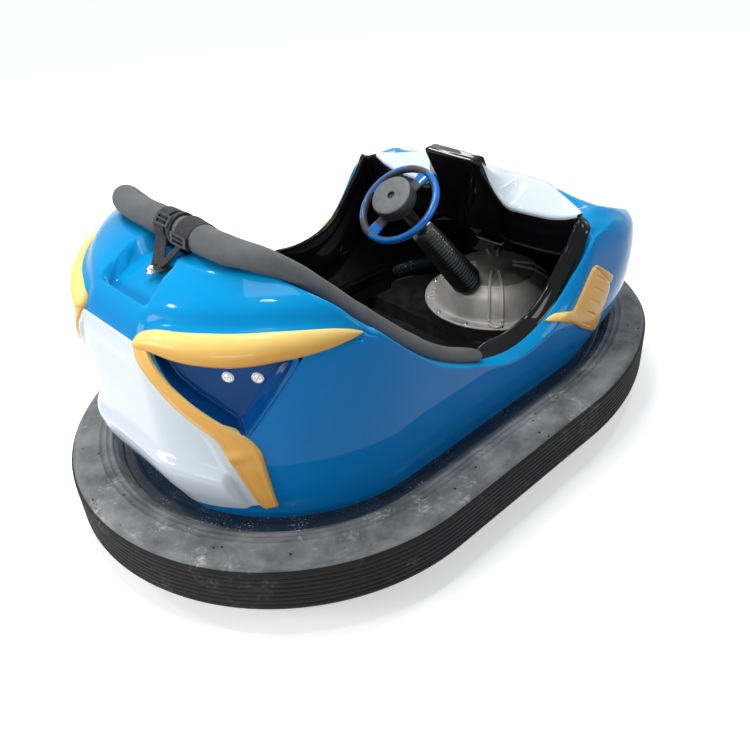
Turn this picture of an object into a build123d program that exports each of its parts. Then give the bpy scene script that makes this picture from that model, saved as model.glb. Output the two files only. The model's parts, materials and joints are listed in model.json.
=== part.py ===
"""Bumper car, millimetres. +X is forward, +Y is left, Z = 0 is the ground.

X is measured from the point 975 mm ahead of the ring's tail; save() moves the origin to the
middle of the car."""
import os
from math import acos, cos, degrees, radians, sin

from build123d import *

os.makedirs("parts", exist_ok=True)

# ---- bumper ring: plan of its shoulder line, three tangent radii a side ----
tail_radius = 616.0          # half the car's width
tail_centre = -359.0
side_end = 193.0
flank_radius = 950.0
nose_radius = 570.0
flank_centre = flank_radius - tail_radius
flank_sweep = degrees(acos(flank_centre / (flank_radius - nose_radius)))
nose_centre = side_end + (flank_radius - nose_radius) * sin(radians(flank_sweep))
nose_half_angle = 90.0 - flank_sweep
frame_shift = (tail_radius - tail_centre - nose_centre - nose_radius) / 2

# ---- bumper ring: heights and insets from the shoulder line ----
tread_low = 106.0
tread_high = 213.0
tyre_low = 84.0
tyre_high = 235.0
bead_inset = 136.0
bead_high = 211.0
bead_low = 104.0
rim_wall = 5.0
ledge_top = 209.0
skirt_inset = 185.0
pan_inset = skirt_inset + rim_wall
pan_low = 150.0
pan_thick = 8.0
pan_top = pan_low + pan_thick

# ---- body ----
shell_thick = 9.0
liner_thick = 5.0
tail_flat = 130.0
opening_half = tail_radius - 168.0
opening_tail = -600.0
opening_corner = 60.0
dash_x = 380.0
ridge_x = 455.0              # the hood's highest line across the car
ridge_z = 672.0
scallop_z = 618.0            # dash edge in the dips beside the console
scallop_in = 128.0
scallop_out = 322.0

# Horizontal outlines of the body, from the bumper ledge up, measured in from the ring's plan.
# z, side inset at the rear, where the rear curve starts after the ring's own, tail inset,
# side inset at the front, where the front curve starts after the ring's own,
# front corner ahead of the nose centre, how far the corner has come in, nose inset
body_outlines = [
    (209.0, 182.0, 9.0, 207.0, 182.0, 107.0, 316.0, 184.0, 179.0),
    (340.0, 150.0, 7.0, 163.0, 144.0, 207.0, 371.0, 162.0, 144.0),
    (450.0, 136.0, 4.0, 143.0, 132.0, 237.0, 361.0, 154.0, 154.0),
    (560.0, 132.0, 1.0, 140.0, 138.0, 267.0, 316.0, 133.0, 264.0),
    (610.0, 133.0, 0.0, 142.0, 148.0, 227.0, 211.0, 93.0, 366.0),
    (655.0, 134.0, -1.0, 145.0, 164.0, 137.0, 96.0, 67.0, 457.0),
    (730.0, 146.0, -1.0, 175.0, 236.0, 57.0, 26.0, 90.0, 524.0),
    (790.0, 191.0, -11.0, 243.0, 316.0, 7.0, -14.0, 70.0, 564.0),
    (826.0, 281.0, -71.0, 310.0, 396.0, -43.0, -44.0, 50.0, 599.0),
]

# ---- drive unit ----
drive_x = 518.0
wheel_radius = 110.0
wheel_width = 55.0
dome_flange_radius = 235.0
dome_top = 323.0
yoke_radius = 176.0
ring_inner = yoke_radius + 8.0
running_fit = 0.05
kingpin_radius = 15.0
front_axle_radius = 10.0

# ---- rear wheels ----
rear_x = -500.0
rear_y = tail_radius - 266.0
rear_radius = 70.0
rear_width = 40.0
rear_axle_radius = 8.0
side_gap = 6.0
bracket_plate = 5.0

# ---- steering ----
steer_angle = 51.0
steer_x = 82.0
steer_z = 677.0
steer_rim_radius = 115.0
steer_rim_thick = 10.5
hub_radius = 62.0
shaft_radius = 12.0
tube_radius = 19.0
steer_axis = Vector(-cos(radians(steer_angle)), 0, sin(radians(steer_angle)))
steer_centre = Vector(steer_x, 0, steer_z)

# ---- padded roll ----
roll_radius = 33.0


def ring_plan(inset):
    """The ring's plan as a flat sketch, moved inward by inset."""
    tail = tail_radius - inset
    flank = flank_radius - inset
    nose = nose_radius - inset
    with BuildSketch() as plan:
        with BuildLine():
            CenterArc((tail_centre, 0), tail, 90, 180)
            Line((tail_centre, -tail), (side_end, -tail))
            CenterArc((side_end, flank_centre), flank, -90, flank_sweep)
            CenterArc((nose_centre, 0), nose, -nose_half_angle, 2 * nose_half_angle)
            CenterArc((side_end, -flank_centre), flank, nose_half_angle, flank_sweep)
            Line((side_end, tail), (tail_centre, tail))
        make_face()
    return plan.sketch


def ring_layer(inset, low, high):
    """A flat layer of the ring's plan between two heights."""
    with BuildPart() as layer:
        with BuildSketch(Plane.XY.offset(low)):
            add(ring_plan(inset))
        extrude(amount=high - low)
    return layer.part


def ring_taper(low, low_inset, high, high_inset):
    """A layer of the ring's plan whose inset changes with height."""
    with BuildPart() as layer:
        with BuildSketch(Plane.XY.offset(low)):
            add(ring_plan(low_inset))
        with BuildSketch(Plane.XY.offset(high)):
            add(ring_plan(high_inset))
        loft(ruled=True)
    return layer.part


def body_form(grow, drop=0.0):
    """The body's solid form, grown sideways by grow and lowered at the top by drop."""
    with BuildPart() as form:
        for z, rear, rear_on, tail, front, front_on, corner_on, corner_in, nose in body_outlines:
            height = z if z < 250 else z - drop
            r, f = tail_radius - rear + grow, tail_radius - front + grow
            t, n = tail_centre - tail_radius + tail - grow, nose_centre + nose_radius - nose + grow
            rear_start, front_start = tail_centre + rear_on, side_end + front_on
            cx, cy = nose_centre + corner_on + 0.8 * grow, f - corner_in - 0.4 * grow
            with BuildSketch(Plane.XY.offset(height)):
                with BuildLine():
                    Line((t, tail_flat), (t, -tail_flat))
                    TangentArc((rear_start, -r), (t, -tail_flat), tangent=(-1, 0))
                    Line((rear_start, -r), (front_start, -f))
                    TangentArc((front_start, -f), (cx, -cy), tangent=(1, 0))
                    ThreePointArc((cx, -cy), (n, 0), (cx, cy))
                    TangentArc((front_start, f), (cx, cy), tangent=(1, 0))
                    Line((rear_start, r), (front_start, f))
                    TangentArc((rear_start, r), (t, tail_flat), tangent=(-1, 0))
                make_face()
        loft(ruled=True)
    return form.part


def side_scoop(drop=0.0):
    """What the low sides, the hood's slope and its scallops take away from the body's form."""
    with BuildPart() as scoop:
        with BuildSketch(Plane.XZ):
            with BuildLine():
                ThreePointArc((-610, 840 - drop), (-300, 525 - drop), (20, 418 - drop))
                ThreePointArc((20, 418 - drop), (210, 466 - drop), (362, 648 - drop))
                Polyline((362, 648 - drop), (ridge_x, ridge_z - drop), (620, ridge_z - drop), (620, 900))
                Polyline((620, 900), (-610, 900), (-610, 840 - drop))
            make_face()
        extrude(amount=600, both=True)
        for side in (-1, 1):
            with BuildSketch(Plane.XZ.offset(-side * (scallop_in + scallop_out) / 2)):
                with BuildLine():
                    Polyline((dash_x - 20, scallop_z - drop), (dash_x, scallop_z - drop),
                             (ridge_x, ridge_z - drop), (ridge_x, ridge_z + 40),
                             (dash_x - 20, ridge_z + 40), close=True)
                make_face()
            extrude(amount=(scallop_out - scallop_in) / 2 + drop, both=True)
    return scoop.part


def cockpit_opening():
    """The prism that opens the cockpit from above."""
    with BuildPart() as prism:
        with BuildSketch(Plane.XY.offset(400)):
            half = opening_half
            tail = opening_tail
            front = dash_x
            with BuildLine():
                Line((tail, 200), (tail, -200))
                ThreePointArc((tail, -200), (-450, opening_corner - half), (-120, -half))
                Line((-120, -half), (front - 60, -half))
                ThreePointArc((front - 60, -half), (front - 14, -half + 14), (front, -half + 60))
                Line((front, -half + 60), (front, half - 60))
                ThreePointArc((front, half - 60), (front - 14, half - 14), (front - 60, half))
                Line((front - 60, half), (-120, half))
                ThreePointArc((-120, half), (-450, half - opening_corner), (tail, 200))
            make_face()
        extrude(amount=500)
    return prism.part


def mirrored(part):
    """The same piece for the car's left side."""
    return mirror(part, about=Plane.XZ, mode=Mode.PRIVATE)


def save(builder, name):
    """Write one finished piece, moved so that the origin is under the middle of the car."""
    piece = builder.part.moved(Location((frame_shift, 0, 0)))
    piece.label = name
    export_step(piece, "parts/" + name + ".step")


# ---- bumper ring ----
with BuildPart() as bumper_tyre:
    add(ring_taper(tyre_low, 30, tread_low, 2))
    add(ring_layer(0, tread_low, tread_high))
    add(ring_taper(tread_high, 2, tyre_high, 30))
    add(ring_layer(bead_inset, tyre_low - 1, tyre_high + 1), mode=Mode.SUBTRACT)
    add(ring_taper(bead_high, bead_inset, tyre_high + 1, bead_inset - 26), mode=Mode.SUBTRACT)
    add(ring_taper(tyre_low - 1, bead_inset - 26, bead_low, bead_inset), mode=Mode.SUBTRACT)
save(bumper_tyre, "bumper_tyre")

with BuildPart() as bumper_rim:
    add(ring_layer(bead_inset, bead_low, ledge_top))
    add(ring_layer(bead_inset + rim_wall, bead_low - 1, pan_low), mode=Mode.SUBTRACT)
    add(ring_layer(skirt_inset + rim_wall, pan_low - 1, ledge_top + 1), mode=Mode.SUBTRACT)
    add(ring_layer(bead_inset + rim_wall, pan_low - 1, ledge_top - rim_wall), mode=Mode.SUBTRACT)
    add(ring_layer(skirt_inset, pan_low, ledge_top))
    add(ring_layer(skirt_inset + rim_wall, pan_low - 1, ledge_top + 1), mode=Mode.SUBTRACT)
save(bumper_rim, "bumper_rim")

# ---- floor and chassis ----
well_front = 300.0
well_rear = 95.0
well_half = opening_half - 63.0
well_depth = 58.0
well_wall = 5.0
well_x = (well_front + well_rear) / 2
well_length = well_front - well_rear
with BuildPart() as floor_pan:
    add(ring_layer(pan_inset, pan_low, pan_top))
    with Locations((well_x, 0, pan_top)):
        Box(well_length + 2 * well_wall, 2 * (well_half + well_wall), 4 * pan_thick,
            mode=Mode.SUBTRACT)
    with Locations((drive_x, 0, pan_top)):
        Cylinder(ring_inner, 4 * pan_thick, mode=Mode.SUBTRACT)
save(floor_pan, "floor_pan")

with BuildPart() as well_tray:
    with Locations((well_x, 0, pan_top)):
        Box(well_length + 2 * well_wall, 2 * (well_half + well_wall), well_depth,
            align=(Align.CENTER, Align.CENTER, Align.MAX))
        Box(well_length, 2 * well_half, well_depth - well_wall,
            align=(Align.CENTER, Align.CENTER, Align.MAX), mode=Mode.SUBTRACT)
save(well_tray, "well_tray")

rail_width = 34.0
rail_height = 40.0
rail_y = tail_radius - 208.0
rail_low = pan_low - rail_height
with BuildPart() as side_rail_right:
    with Locations((-85, -rail_y, pan_low)):
        Box(540, rail_width, rail_height, align=(Align.CENTER, Align.CENTER, Align.MAX))
save(side_rail_right, "side_rail_right")

with BuildPart() as side_rail_left:
    add(mirrored(side_rail_right.part))
save(side_rail_left, "side_rail_left")

cross_half = rail_y - rail_width / 2
for beam_name, beam_x in (("cross_beam_front", 20.0), ("cross_beam_mid", -170.0)):
    with BuildPart() as cross_beam:
        with Locations((beam_x, 0, pan_low)):
            Box(rail_width, 2 * cross_half, rail_height, align=(Align.CENTER, Align.CENTER, Align.MAX))
    save(cross_beam, beam_name)

with BuildPart() as rear_axle_beam:
    with Locations((rear_x, 0, pan_low)):
        Box(60, 2 * (rear_y - 60), rail_height, align=(Align.CENTER, Align.CENTER, Align.MAX))
    with Locations(((rear_x - 170 - rail_width / 2) / 2, 0, pan_low)):
        Box(-rear_x - 170 - rail_width / 2, 60, rail_height,
            align=(Align.CENTER, Align.CENTER, Align.MAX))
save(rear_axle_beam, "rear_axle_beam")

# ---- padded roll round the back of the cockpit ----
# x, how far in from the opening's side, z
roll_points = [(-612, 248, 859), (-598, 193, 853), (-560, 136, 815), (-500, 82, 745), (-440, 52, 682),
               (-390, 36, 637), (-290, 16, 553), (-200, 7, 503), (-120, 0, 472)]
roll_path = [(x, opening_half - inward, z) for x, inward, z in roll_points]
with BuildPart() as padded_roll:
    with BuildLine():
        Polyline(*[(x, -y, z) for x, y, z in reversed(roll_path)], *roll_path)
    with BuildSketch(Plane(origin=(-120, -opening_half, 472), z_dir=(-80, 7, 31))):
        Circle(roll_radius)
    sweep(transition=Transition.ROUND)
save(padded_roll, "padded_roll")

# ---- body shell and black inner liner ----
outer = body_form(0)
inner = body_form(-shell_thick - 4, shell_thick)
liner_hollow = body_form(-shell_thick - 4 - liner_thick, shell_thick + liner_thick)
opening = cockpit_opening()

anchor_x = -687.0
pocket_top = 786.0
with BuildPart() as pocket_block:
    with BuildSketch(Plane.XY.offset(pocket_top - 12)):
        with BuildLine():
            Polyline((-742, 104), (-742, -104), (-622, -80), (-622, 80), close=True)
        make_face()
    extrude(amount=40)

with BuildPart() as pocket_hollow:
    with BuildSketch(Plane.XY.offset(pocket_top)):
        with BuildLine():
            Polyline((-760, 92), (-760, -92), (-632, -68), (-632, 68), close=True)
        make_face()
    extrude(amount=80)

with BuildPart() as body_shell:
    add(outer)
    add(side_scoop(), mode=Mode.SUBTRACT)
    add(inner - side_scoop(shell_thick), mode=Mode.SUBTRACT)
    add(pocket_block.part & outer)
    add(pocket_hollow.part, mode=Mode.SUBTRACT)
    add(opening, mode=Mode.SUBTRACT)
    add(padded_roll.part, mode=Mode.SUBTRACT)
save(body_shell, "body_shell")

with BuildPart() as cockpit_liner:
    add(inner - side_scoop(shell_thick))
    add(liner_hollow - side_scoop(shell_thick + liner_thick), mode=Mode.SUBTRACT)
    add(pocket_block.part, mode=Mode.SUBTRACT)
    add(opening, mode=Mode.SUBTRACT)
    add(padded_roll.part, mode=Mode.SUBTRACT)
save(cockpit_liner, "cockpit_liner")

# ---- trim that follows the shell: a skin of the body's form cut by a prism ----
panel_skin = body_form(4) - outer
brow_skin = body_form(12) - outer
side_cut = side_scoop()

with BuildPart() as panel_prism:
    with BuildSketch(Plane.YZ.offset(-900)):
        with BuildLine():
            Polyline((-113, 686), (113, 686), (163, 629), (204, 576), (275, 494), (286, 443),
                     (296, 289), (288, 272), (-288, 272), (-296, 289), (-286, 443), (-275, 494),
                     (-204, 576), (-163, 629), close=True)
        make_face()
    extrude(amount=400)
flank = Plane(origin=(-640, -300, 0), x_dir=(0.64, -0.768, 0), z_dir=(-0.768, -0.64, 0))


def flank_prism(points):
    """A prism square to the rear corner, through points given in x, y, z."""
    with BuildPart() as prism:
        with BuildSketch(flank.offset(-120)):
            with BuildLine():
                Polyline(*[tuple(flank.to_local_coords(Vector(*p)))[:2] for p in points], close=True)
            make_face()
        extrude(amount=400)
    return prism.part


brow_points = [(-812, -110, 709), (-793, -142, 733), (-763, -210, 741), (-690, -315, 745),
               (-632, -370, 745), (-567, -415, 738), (-470, -430, 702), (-547, -438, 697),
               (-596, -416, 691), (-653, -379, 686), (-702, -337, 680), (-738, -297, 679),
               (-771, -250, 681), (-794, -203, 686), (-810, -157, 692)]
band_points = [(-812, -110, 709), (-825, -129, 670), (-821, -160, 631), (-807, -201, 578),
               (-763, -272, 495), (-751, -284, 443), (-705, -293, 289), (-688, -300, 264),
               (-668, -324, 264), (-697, -339, 416), (-705, -338, 468), (-722, -322, 500),
               (-764, -274, 555), (-788, -235, 593), (-805, -199, 632), (-810, -157, 694)]
eye_points = [(-806, -170, 690), (-607, -409, 692), (-715, -330, 510), (-764, -274, 555),
              (-802, -204, 632)]

with BuildPart() as brow_right:
    add((brow_skin & flank_prism(brow_points)) - side_cut)
    add(brow_skin & flank_prism(band_points))
save(brow_right, "brow_right")

with BuildPart() as rear_panel:
    add(panel_skin & panel_prism.part)
    add(brow_right.part, mode=Mode.SUBTRACT)
    add(mirrored(brow_right.part), mode=Mode.SUBTRACT)
save(rear_panel, "rear_panel")

with BuildPart() as eye_right:
    add(panel_skin & flank_prism(eye_points))
    add(brow_right.part, mode=Mode.SUBTRACT)
save(eye_right, "eye_right")

lamp_points = [(-734, -307, 658), (-690, -354, 658)]
with BuildPart() as lamp_right:
    for px, py, pz in lamp_points:
        with BuildSketch(flank.offset(40)):
            u, v = tuple(flank.to_local_coords(Vector(px, py, pz)))[:2]
            with Locations((u, v)):
                Circle(14)
        extrude(amount=60)
    add(body_form(12), mode=Mode.INTERSECT)
    add(body_form(4), mode=Mode.SUBTRACT)

with BuildPart() as gill_prism:
    with BuildSketch(Plane.XZ.offset(300)):
        with BuildLine():
            Polyline((158, 443), (205, 461), (253, 443), (272, 446), (355, 530), (368, 533),
                     (440, 470), (424, 429), (421, 365), (400, 312), (336, 349), (280, 390),
                     (197, 432), close=True)
        make_face()
    extrude(amount=300)
with BuildPart() as gill_right:
    add((brow_skin & gill_prism.part) - side_cut)
save(gill_right, "gill_right")

with BuildPart() as hood_band_right:
    with BuildSketch(Plane.XZ.offset((scallop_in + scallop_out) / 2)):
        with BuildLine():
            Polyline((dash_x + 3, scallop_z), (ridge_x, ridge_z), (ridge_x, ridge_z + 4),
                     (dash_x + 3, scallop_z + 5), close=True)
        make_face()
    extrude(amount=(scallop_out - scallop_in) / 2 - 2, both=True)
    add(outer - side_cut, mode=Mode.SUBTRACT)

with BuildPart() as head_lamp_right:
    with BuildSketch(Plane.YZ.offset(560)):
        with Locations((-250, 470)):
            Ellipse(80, 38, rotation=-18)
    extrude(amount=300)
    add(body_form(10), mode=Mode.INTERSECT)
    add(outer, mode=Mode.SUBTRACT)

for name, piece in (("brow_left", brow_right), ("eye_left", eye_right), ("gill_left", gill_right)):
    with BuildPart() as left_piece:
        add(mirrored(piece.part))
    save(left_piece, name)

for name, piece in (("tail_lamps", lamp_right), ("hood_bands", hood_band_right),
                    ("head_lamps", head_lamp_right)):
    with BuildPart() as pair:
        add(piece.part)
        add(mirrored(piece.part))
    save(pair, name)

# ---- console spur on the dash, and the hood's hump running up to it ----
with BuildPart() as dash_console:
    with BuildSketch(Plane.XY.offset(560)):
        with BuildLine():
            Polyline((345, -68), (dash_x + 1, -112), (dash_x + 1, 112), (345, 68), close=True)
        make_face()
    with BuildSketch(Plane.XY.offset(762)):
        with BuildLine():
            Polyline((290, -98), (320, -104), (320, 104), (290, 98), close=True)
        make_face()
    loft(ruled=True)
    add(outer - side_cut, mode=Mode.SUBTRACT)
save(dash_console, "dash_console")

with BuildPart() as hood_hump:
    with BuildSketch(Plane.XZ):
        with BuildLine():
            Polyline((323.3, 752), (345, 722), (ridge_x + 25, 655), (dash_x, 640), (357.1, 640),
                     close=True)
        make_face()
    extrude(amount=104, both=True)
    add(outer - side_cut, mode=Mode.SUBTRACT)
save(hood_hump, "hood_hump")

# ---- seat ----
seat_front = -130.0
seat_back_x = -520.0
seat_half = opening_half - 88.0
seat_top = 330.0
cushion_thick = 70.0
with BuildPart() as seat_base:
    with BuildSketch(Plane.XZ):
        with BuildLine():
            Polyline((seat_front - 20, pan_top), (seat_front, seat_top), (-520, seat_top - 20),
                     (-640, 700), (-665, 700), (-560, pan_top), close=True)
        make_face()
    extrude(amount=seat_half, both=True)
    with BuildSketch(Plane.XZ):
        with BuildLine():
            Polyline((seat_front - 30, pan_top - 1), (seat_front - 12, seat_top - 8),
                     (-526, seat_top - 28), (-548, pan_top - 1), close=True)
        make_face()
    extrude(amount=seat_half - 8, both=True, mode=Mode.SUBTRACT)
    add(liner_hollow + ring_layer(pan_inset, pan_top, ledge_top), mode=Mode.INTERSECT)
save(seat_base, "seat_base")

with BuildPart() as seat_cushion:
    with BuildSketch(Plane.XZ):
        with BuildLine():
            Polyline((seat_front, seat_top), (seat_front + 8, seat_top + cushion_thick),
                     (-505, seat_top + cushion_thick - 20), (-520, seat_top - 20), close=True)
        make_face()
    extrude(amount=seat_half - 20, both=True)
    fillet(seat_cushion.edges().filter_by(Axis.Y).group_by(Axis.Z)[-1], 22)
save(seat_cushion, "seat_cushion")

with BuildPart() as seat_backrest:
    with BuildSketch(Plane.XZ):
        with BuildLine():
            Polyline((-507, 382), (-582, 700), (-640, 700), (-520, 380), close=True)
        make_face()
    extrude(amount=seat_half - 60, both=True)
save(seat_backrest, "seat_backrest")

# ---- belt anchor and straps over the roll ----
with BuildPart() as belt_anchor:
    with Locations((anchor_x, 0, pocket_top)):
        Cylinder(20, 5, align=(Align.CENTER, Align.CENTER, Align.MIN))
        Cylinder(8, 22, align=(Align.CENTER, Align.CENTER, Align.MIN))
    with Locations((anchor_x, 0, pocket_top + 15)):
        Cylinder(15, 8, align=(Align.CENTER, Align.CENTER, Align.MIN))
save(belt_anchor, "belt_anchor")

strap_thick = 3.0
strap_y = 68.0
strap_rise = Vector(42, 0, 53).normalized()
strap_plane = Plane(origin=(anchor_x - 2, 0, pocket_top + 8), x_dir=(0, 1, 0),
                    z_dir=Vector(0, 1, 0).cross(strap_rise))
with BuildPart() as belts:
    for side in (-1, 1):
        with BuildSketch(Plane.XZ.offset(-side * strap_y)):
            with Locations((-612, 859)):
                Circle(roll_radius + strap_thick)
                Circle(roll_radius, mode=Mode.SUBTRACT)
            with Locations((-612, 800)):
                Rectangle(120, 70, mode=Mode.SUBTRACT)
        extrude(amount=24, both=True)
        with BuildSketch(strap_plane):
            with BuildLine():
                Polyline((side * 4, 0), (side * 26, 0), (side * 90, 66), (side * 46, 66), close=True)
            make_face()
        extrude(amount=-strap_thick)
    add(belt_anchor.part, mode=Mode.SUBTRACT)
save(belts, "belts")

# ---- drive unit: fixed ring and dome ----
with BuildPart() as drive_ring:
    with Locations((drive_x, 0, pan_top)):
        Cylinder(dome_flange_radius, 42, align=(Align.CENTER, Align.CENTER, Align.MIN))
        Cylinder(ring_inner, 42, align=(Align.CENTER, Align.CENTER, Align.MIN), mode=Mode.SUBTRACT)
save(drive_ring, "drive_ring")

dome_base = pan_top + 42
with BuildPart() as drive_dome:
    with BuildSketch(Plane.XZ):
        with BuildLine():
            Polyline((drive_x, dome_top), (drive_x + 92, dome_top - 6), (drive_x + 172, dome_top - 36),
                     (drive_x + 205, dome_base + 6), (drive_x + dome_flange_radius, dome_base + 6),
                     (drive_x + dome_flange_radius, dome_base), (drive_x + 199, dome_base),
                     (drive_x + 167, dome_top - 44), (drive_x + 90, dome_top - 13),
                     (drive_x + 32, dome_top - 9), (drive_x + 32, dome_top - 30),
                     (drive_x + kingpin_radius + running_fit, dome_top - 30),
                     (drive_x + kingpin_radius + running_fit, dome_top - 6),
                     (drive_x, dome_top - 6), close=True)
        make_face()
    revolve(axis=Axis((drive_x, 0, 0), (0, 0, 1)))
save(drive_dome, "drive_dome")

with BuildPart() as dome_solid:
    with BuildSketch(Plane.XZ):
        with BuildLine():
            Polyline((drive_x, dome_top), (drive_x + 92, dome_top - 6), (drive_x + 172, dome_top - 36),
                     (drive_x + 205, dome_base + 6), (drive_x, dome_base + 6), close=True)
        make_face()
    revolve(axis=Axis((drive_x, 0, 0), (0, 0, 1)))

# ---- drive unit: steered yoke, motor, wheel ----
axle_z = wheel_radius
fork_y = wheel_width / 2 + side_gap
fork_plate = 10.0
plate_low = 152.0
plate_high = 168.0
motor_low = 2 * wheel_radius + 8
motor_high = dome_top - 32
with BuildPart() as drive_yoke:
    with Locations((drive_x, 0, plate_low)):
        Cylinder(yoke_radius, plate_high - plate_low, align=(Align.CENTER, Align.CENTER, Align.MIN))
    with Locations((drive_x, 0, plate_low - 1)):
        Box(2 * wheel_radius + 30, 2 * fork_y, 40, mode=Mode.SUBTRACT,
            align=(Align.CENTER, Align.CENTER, Align.MIN))
    for side in (-1, 1):
        with Locations((drive_x, side * (fork_y + fork_plate / 2), axle_z - 30)):
            Box(60, fork_plate, motor_low - axle_z + 30, align=(Align.CENTER, Align.CENTER, Align.MIN))
    with BuildSketch(Plane.XZ.offset(-fork_y - 1)):
        with Locations((drive_x, axle_z)):
            Circle(front_axle_radius)
    extrude(amount=2 * (fork_y + 1))
save(drive_yoke, "drive_yoke")

with BuildPart() as motor:
    with Locations((drive_x, 0, motor_low)):
        Cylinder(95, motor_high - motor_low, align=(Align.CENTER, Align.CENTER, Align.MIN))
    with Locations((drive_x, 0, motor_high)):
        Cylinder(kingpin_radius, 24, align=(Align.CENTER, Align.CENTER, Align.MIN))
save(motor, "motor")

def wheel_ring(centre_x, centre_y, centre_z, outer_radius, inner_radius, width):
    """A plain ring on the Y axis; used for tyres and hubs."""
    with BuildPart() as ring:
        with BuildSketch(Plane.XZ.offset(-centre_y - width / 2)):
            with Locations((centre_x, centre_z)):
                Circle(outer_radius)
                Circle(inner_radius, mode=Mode.SUBTRACT)
        extrude(amount=width)
    return ring.part


with BuildPart() as front_tyre:
    add(wheel_ring(drive_x, 0, axle_z, wheel_radius, 72, wheel_width))
save(front_tyre, "front_tyre")

with BuildPart() as front_hub:
    add(wheel_ring(drive_x, 0, axle_z, 72, front_axle_radius + running_fit, wheel_width))
    for side in (-1, 1):
        with BuildSketch(Plane.XZ.offset(-side * wheel_width / 2)):
            with Locations((drive_x, axle_z)):
                Circle(60)
                Circle(28, mode=Mode.SUBTRACT)
        extrude(amount=side * 12, mode=Mode.SUBTRACT)
save(front_hub, "front_hub")

# ---- rear wheels on plain brackets under the floor ----
bracket_in = rear_width / 2 + side_gap
for name, side in (("right", -1), ("left", 1)):
    with BuildPart() as rear_tyre:
        add(wheel_ring(rear_x, side * rear_y, rear_radius, rear_radius, 45, rear_width))
    save(rear_tyre, "rear_tyre_" + name)
    with BuildPart() as rear_hub:
        add(wheel_ring(rear_x, side * rear_y, rear_radius, 45, rear_axle_radius + running_fit, rear_width))
    save(rear_hub, "rear_hub_" + name)
    with BuildPart() as rear_bracket:
        with Locations((rear_x, side * rear_y, pan_low)):
            Box(70, 2 * (bracket_in + bracket_plate), 4, align=(Align.CENTER, Align.CENTER, Align.MAX))
        for hand in (-1, 1):
            with Locations((rear_x, side * rear_y + hand * (bracket_in + bracket_plate / 2), pan_low)):
                Box(60, bracket_plate, pan_low - rear_radius + 22,
                    align=(Align.CENTER, Align.CENTER, Align.MAX))
        with BuildSketch(Plane.XZ.offset(-side * rear_y - bracket_in - 1)):
            with Locations((rear_x, rear_radius)):
                Circle(rear_axle_radius)
        extrude(amount=2 * (bracket_in + 1))
    save(rear_bracket, "rear_bracket_" + name)

# ---- steering column and wheel ----
steer_plane = Plane(origin=steer_centre, x_dir=(0, 1, 0), z_dir=steer_axis)
tube_top = -40.0
bellows_top = -150.0
bellows_low = -465.0
with BuildPart() as column_tube:
    with BuildSketch(steer_plane.offset(bellows_low - 25)):
        Circle(tube_radius)
    extrude(amount=tube_top - bellows_low + 25)
    with BuildSketch(steer_plane.offset(bellows_low - 26)):
        Circle(shaft_radius + running_fit)
    extrude(amount=tube_top - bellows_low + 30, mode=Mode.SUBTRACT)
    add(dome_solid.part, mode=Mode.SUBTRACT)
save(column_tube, "column_tube")

with BuildPart() as column_bellows:
    with BuildSketch(steer_plane.offset(bellows_low)):
        Circle(50)
    with BuildSketch(steer_plane.offset(bellows_top)):
        Circle(36)
    loft()
    with BuildSketch(steer_plane.offset(bellows_low - 1)):
        Circle(tube_radius)
    extrude(amount=bellows_top - bellows_low + 2, mode=Mode.SUBTRACT)
    add(dome_solid.part, mode=Mode.SUBTRACT)
save(column_bellows, "column_bellows")

with BuildPart() as steering_shaft:
    with BuildSketch(steer_plane.offset(bellows_low + 60)):
        Circle(shaft_radius)
    extrude(amount=-bellows_low - 60 - 20)
save(steering_shaft, "steering_shaft")

with BuildPart() as steering_hub:
    with BuildSketch(steer_plane.offset(-20)):
        Circle(30)
    extrude(amount=24)
    with BuildSketch(steer_plane.offset(4)):
        Circle(hub_radius)
    extrude(amount=46)
    fillet(steering_hub.edges().filter_by(GeomType.CIRCLE).sort_by(lambda e: e.radius)[-2:], 6)
save(steering_hub, "steering_hub")

with BuildPart() as steering_rim:
    with BuildSketch(Plane(origin=steer_centre, x_dir=steer_axis, z_dir=(0, 1, 0))):
        with Locations((0, steer_rim_radius)):
            Circle(steer_rim_thick)
    revolve(axis=Axis(steer_centre, steer_axis))
save(steering_rim, "steering_rim")

with BuildPart() as steering_spokes:
    for turn in (-15, 75, 255):
        with BuildSketch(steer_plane.offset(-2)):
            with Locations(Location((0, 0, 0), (0, 0, turn))):
                with Locations(((hub_radius - 3 + steer_rim_radius) / 2, 0)):
                    Rectangle(steer_rim_radius - hub_radius + 3, 34)
        extrude(amount=8)
    add(steering_rim.part, mode=Mode.SUBTRACT)
    add(steering_hub.part, mode=Mode.SUBTRACT)
save(steering_spokes, "steering_spokes")

# ---- pedal and its box ahead of the dome ----
with BuildPart() as pedal_box:
    with Locations((670, 95, 330)):
        Box(160, 120, 120, align=(Align.MIN, Align.CENTER, Align.MIN))
    add(liner_hollow, mode=Mode.INTERSECT)
save(pedal_box, "pedal_box")

with BuildPart() as pedal:
    with BuildSketch(Plane.XZ.offset(-155)):
        with BuildLine():
            Polyline((670, 340), (600, 352), (598, 358), (670, 348), close=True)
        make_face()
    extrude(amount=120)
save(pedal, "pedal")
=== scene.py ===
"""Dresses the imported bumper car: camera, light, fine meshes over the CAD nodes, materials."""

import json
import math

import bmesh
import bpy
import numpy as np
from mathutils import Matrix, Vector
from mathutils.bvhtree import BVHTree


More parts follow.
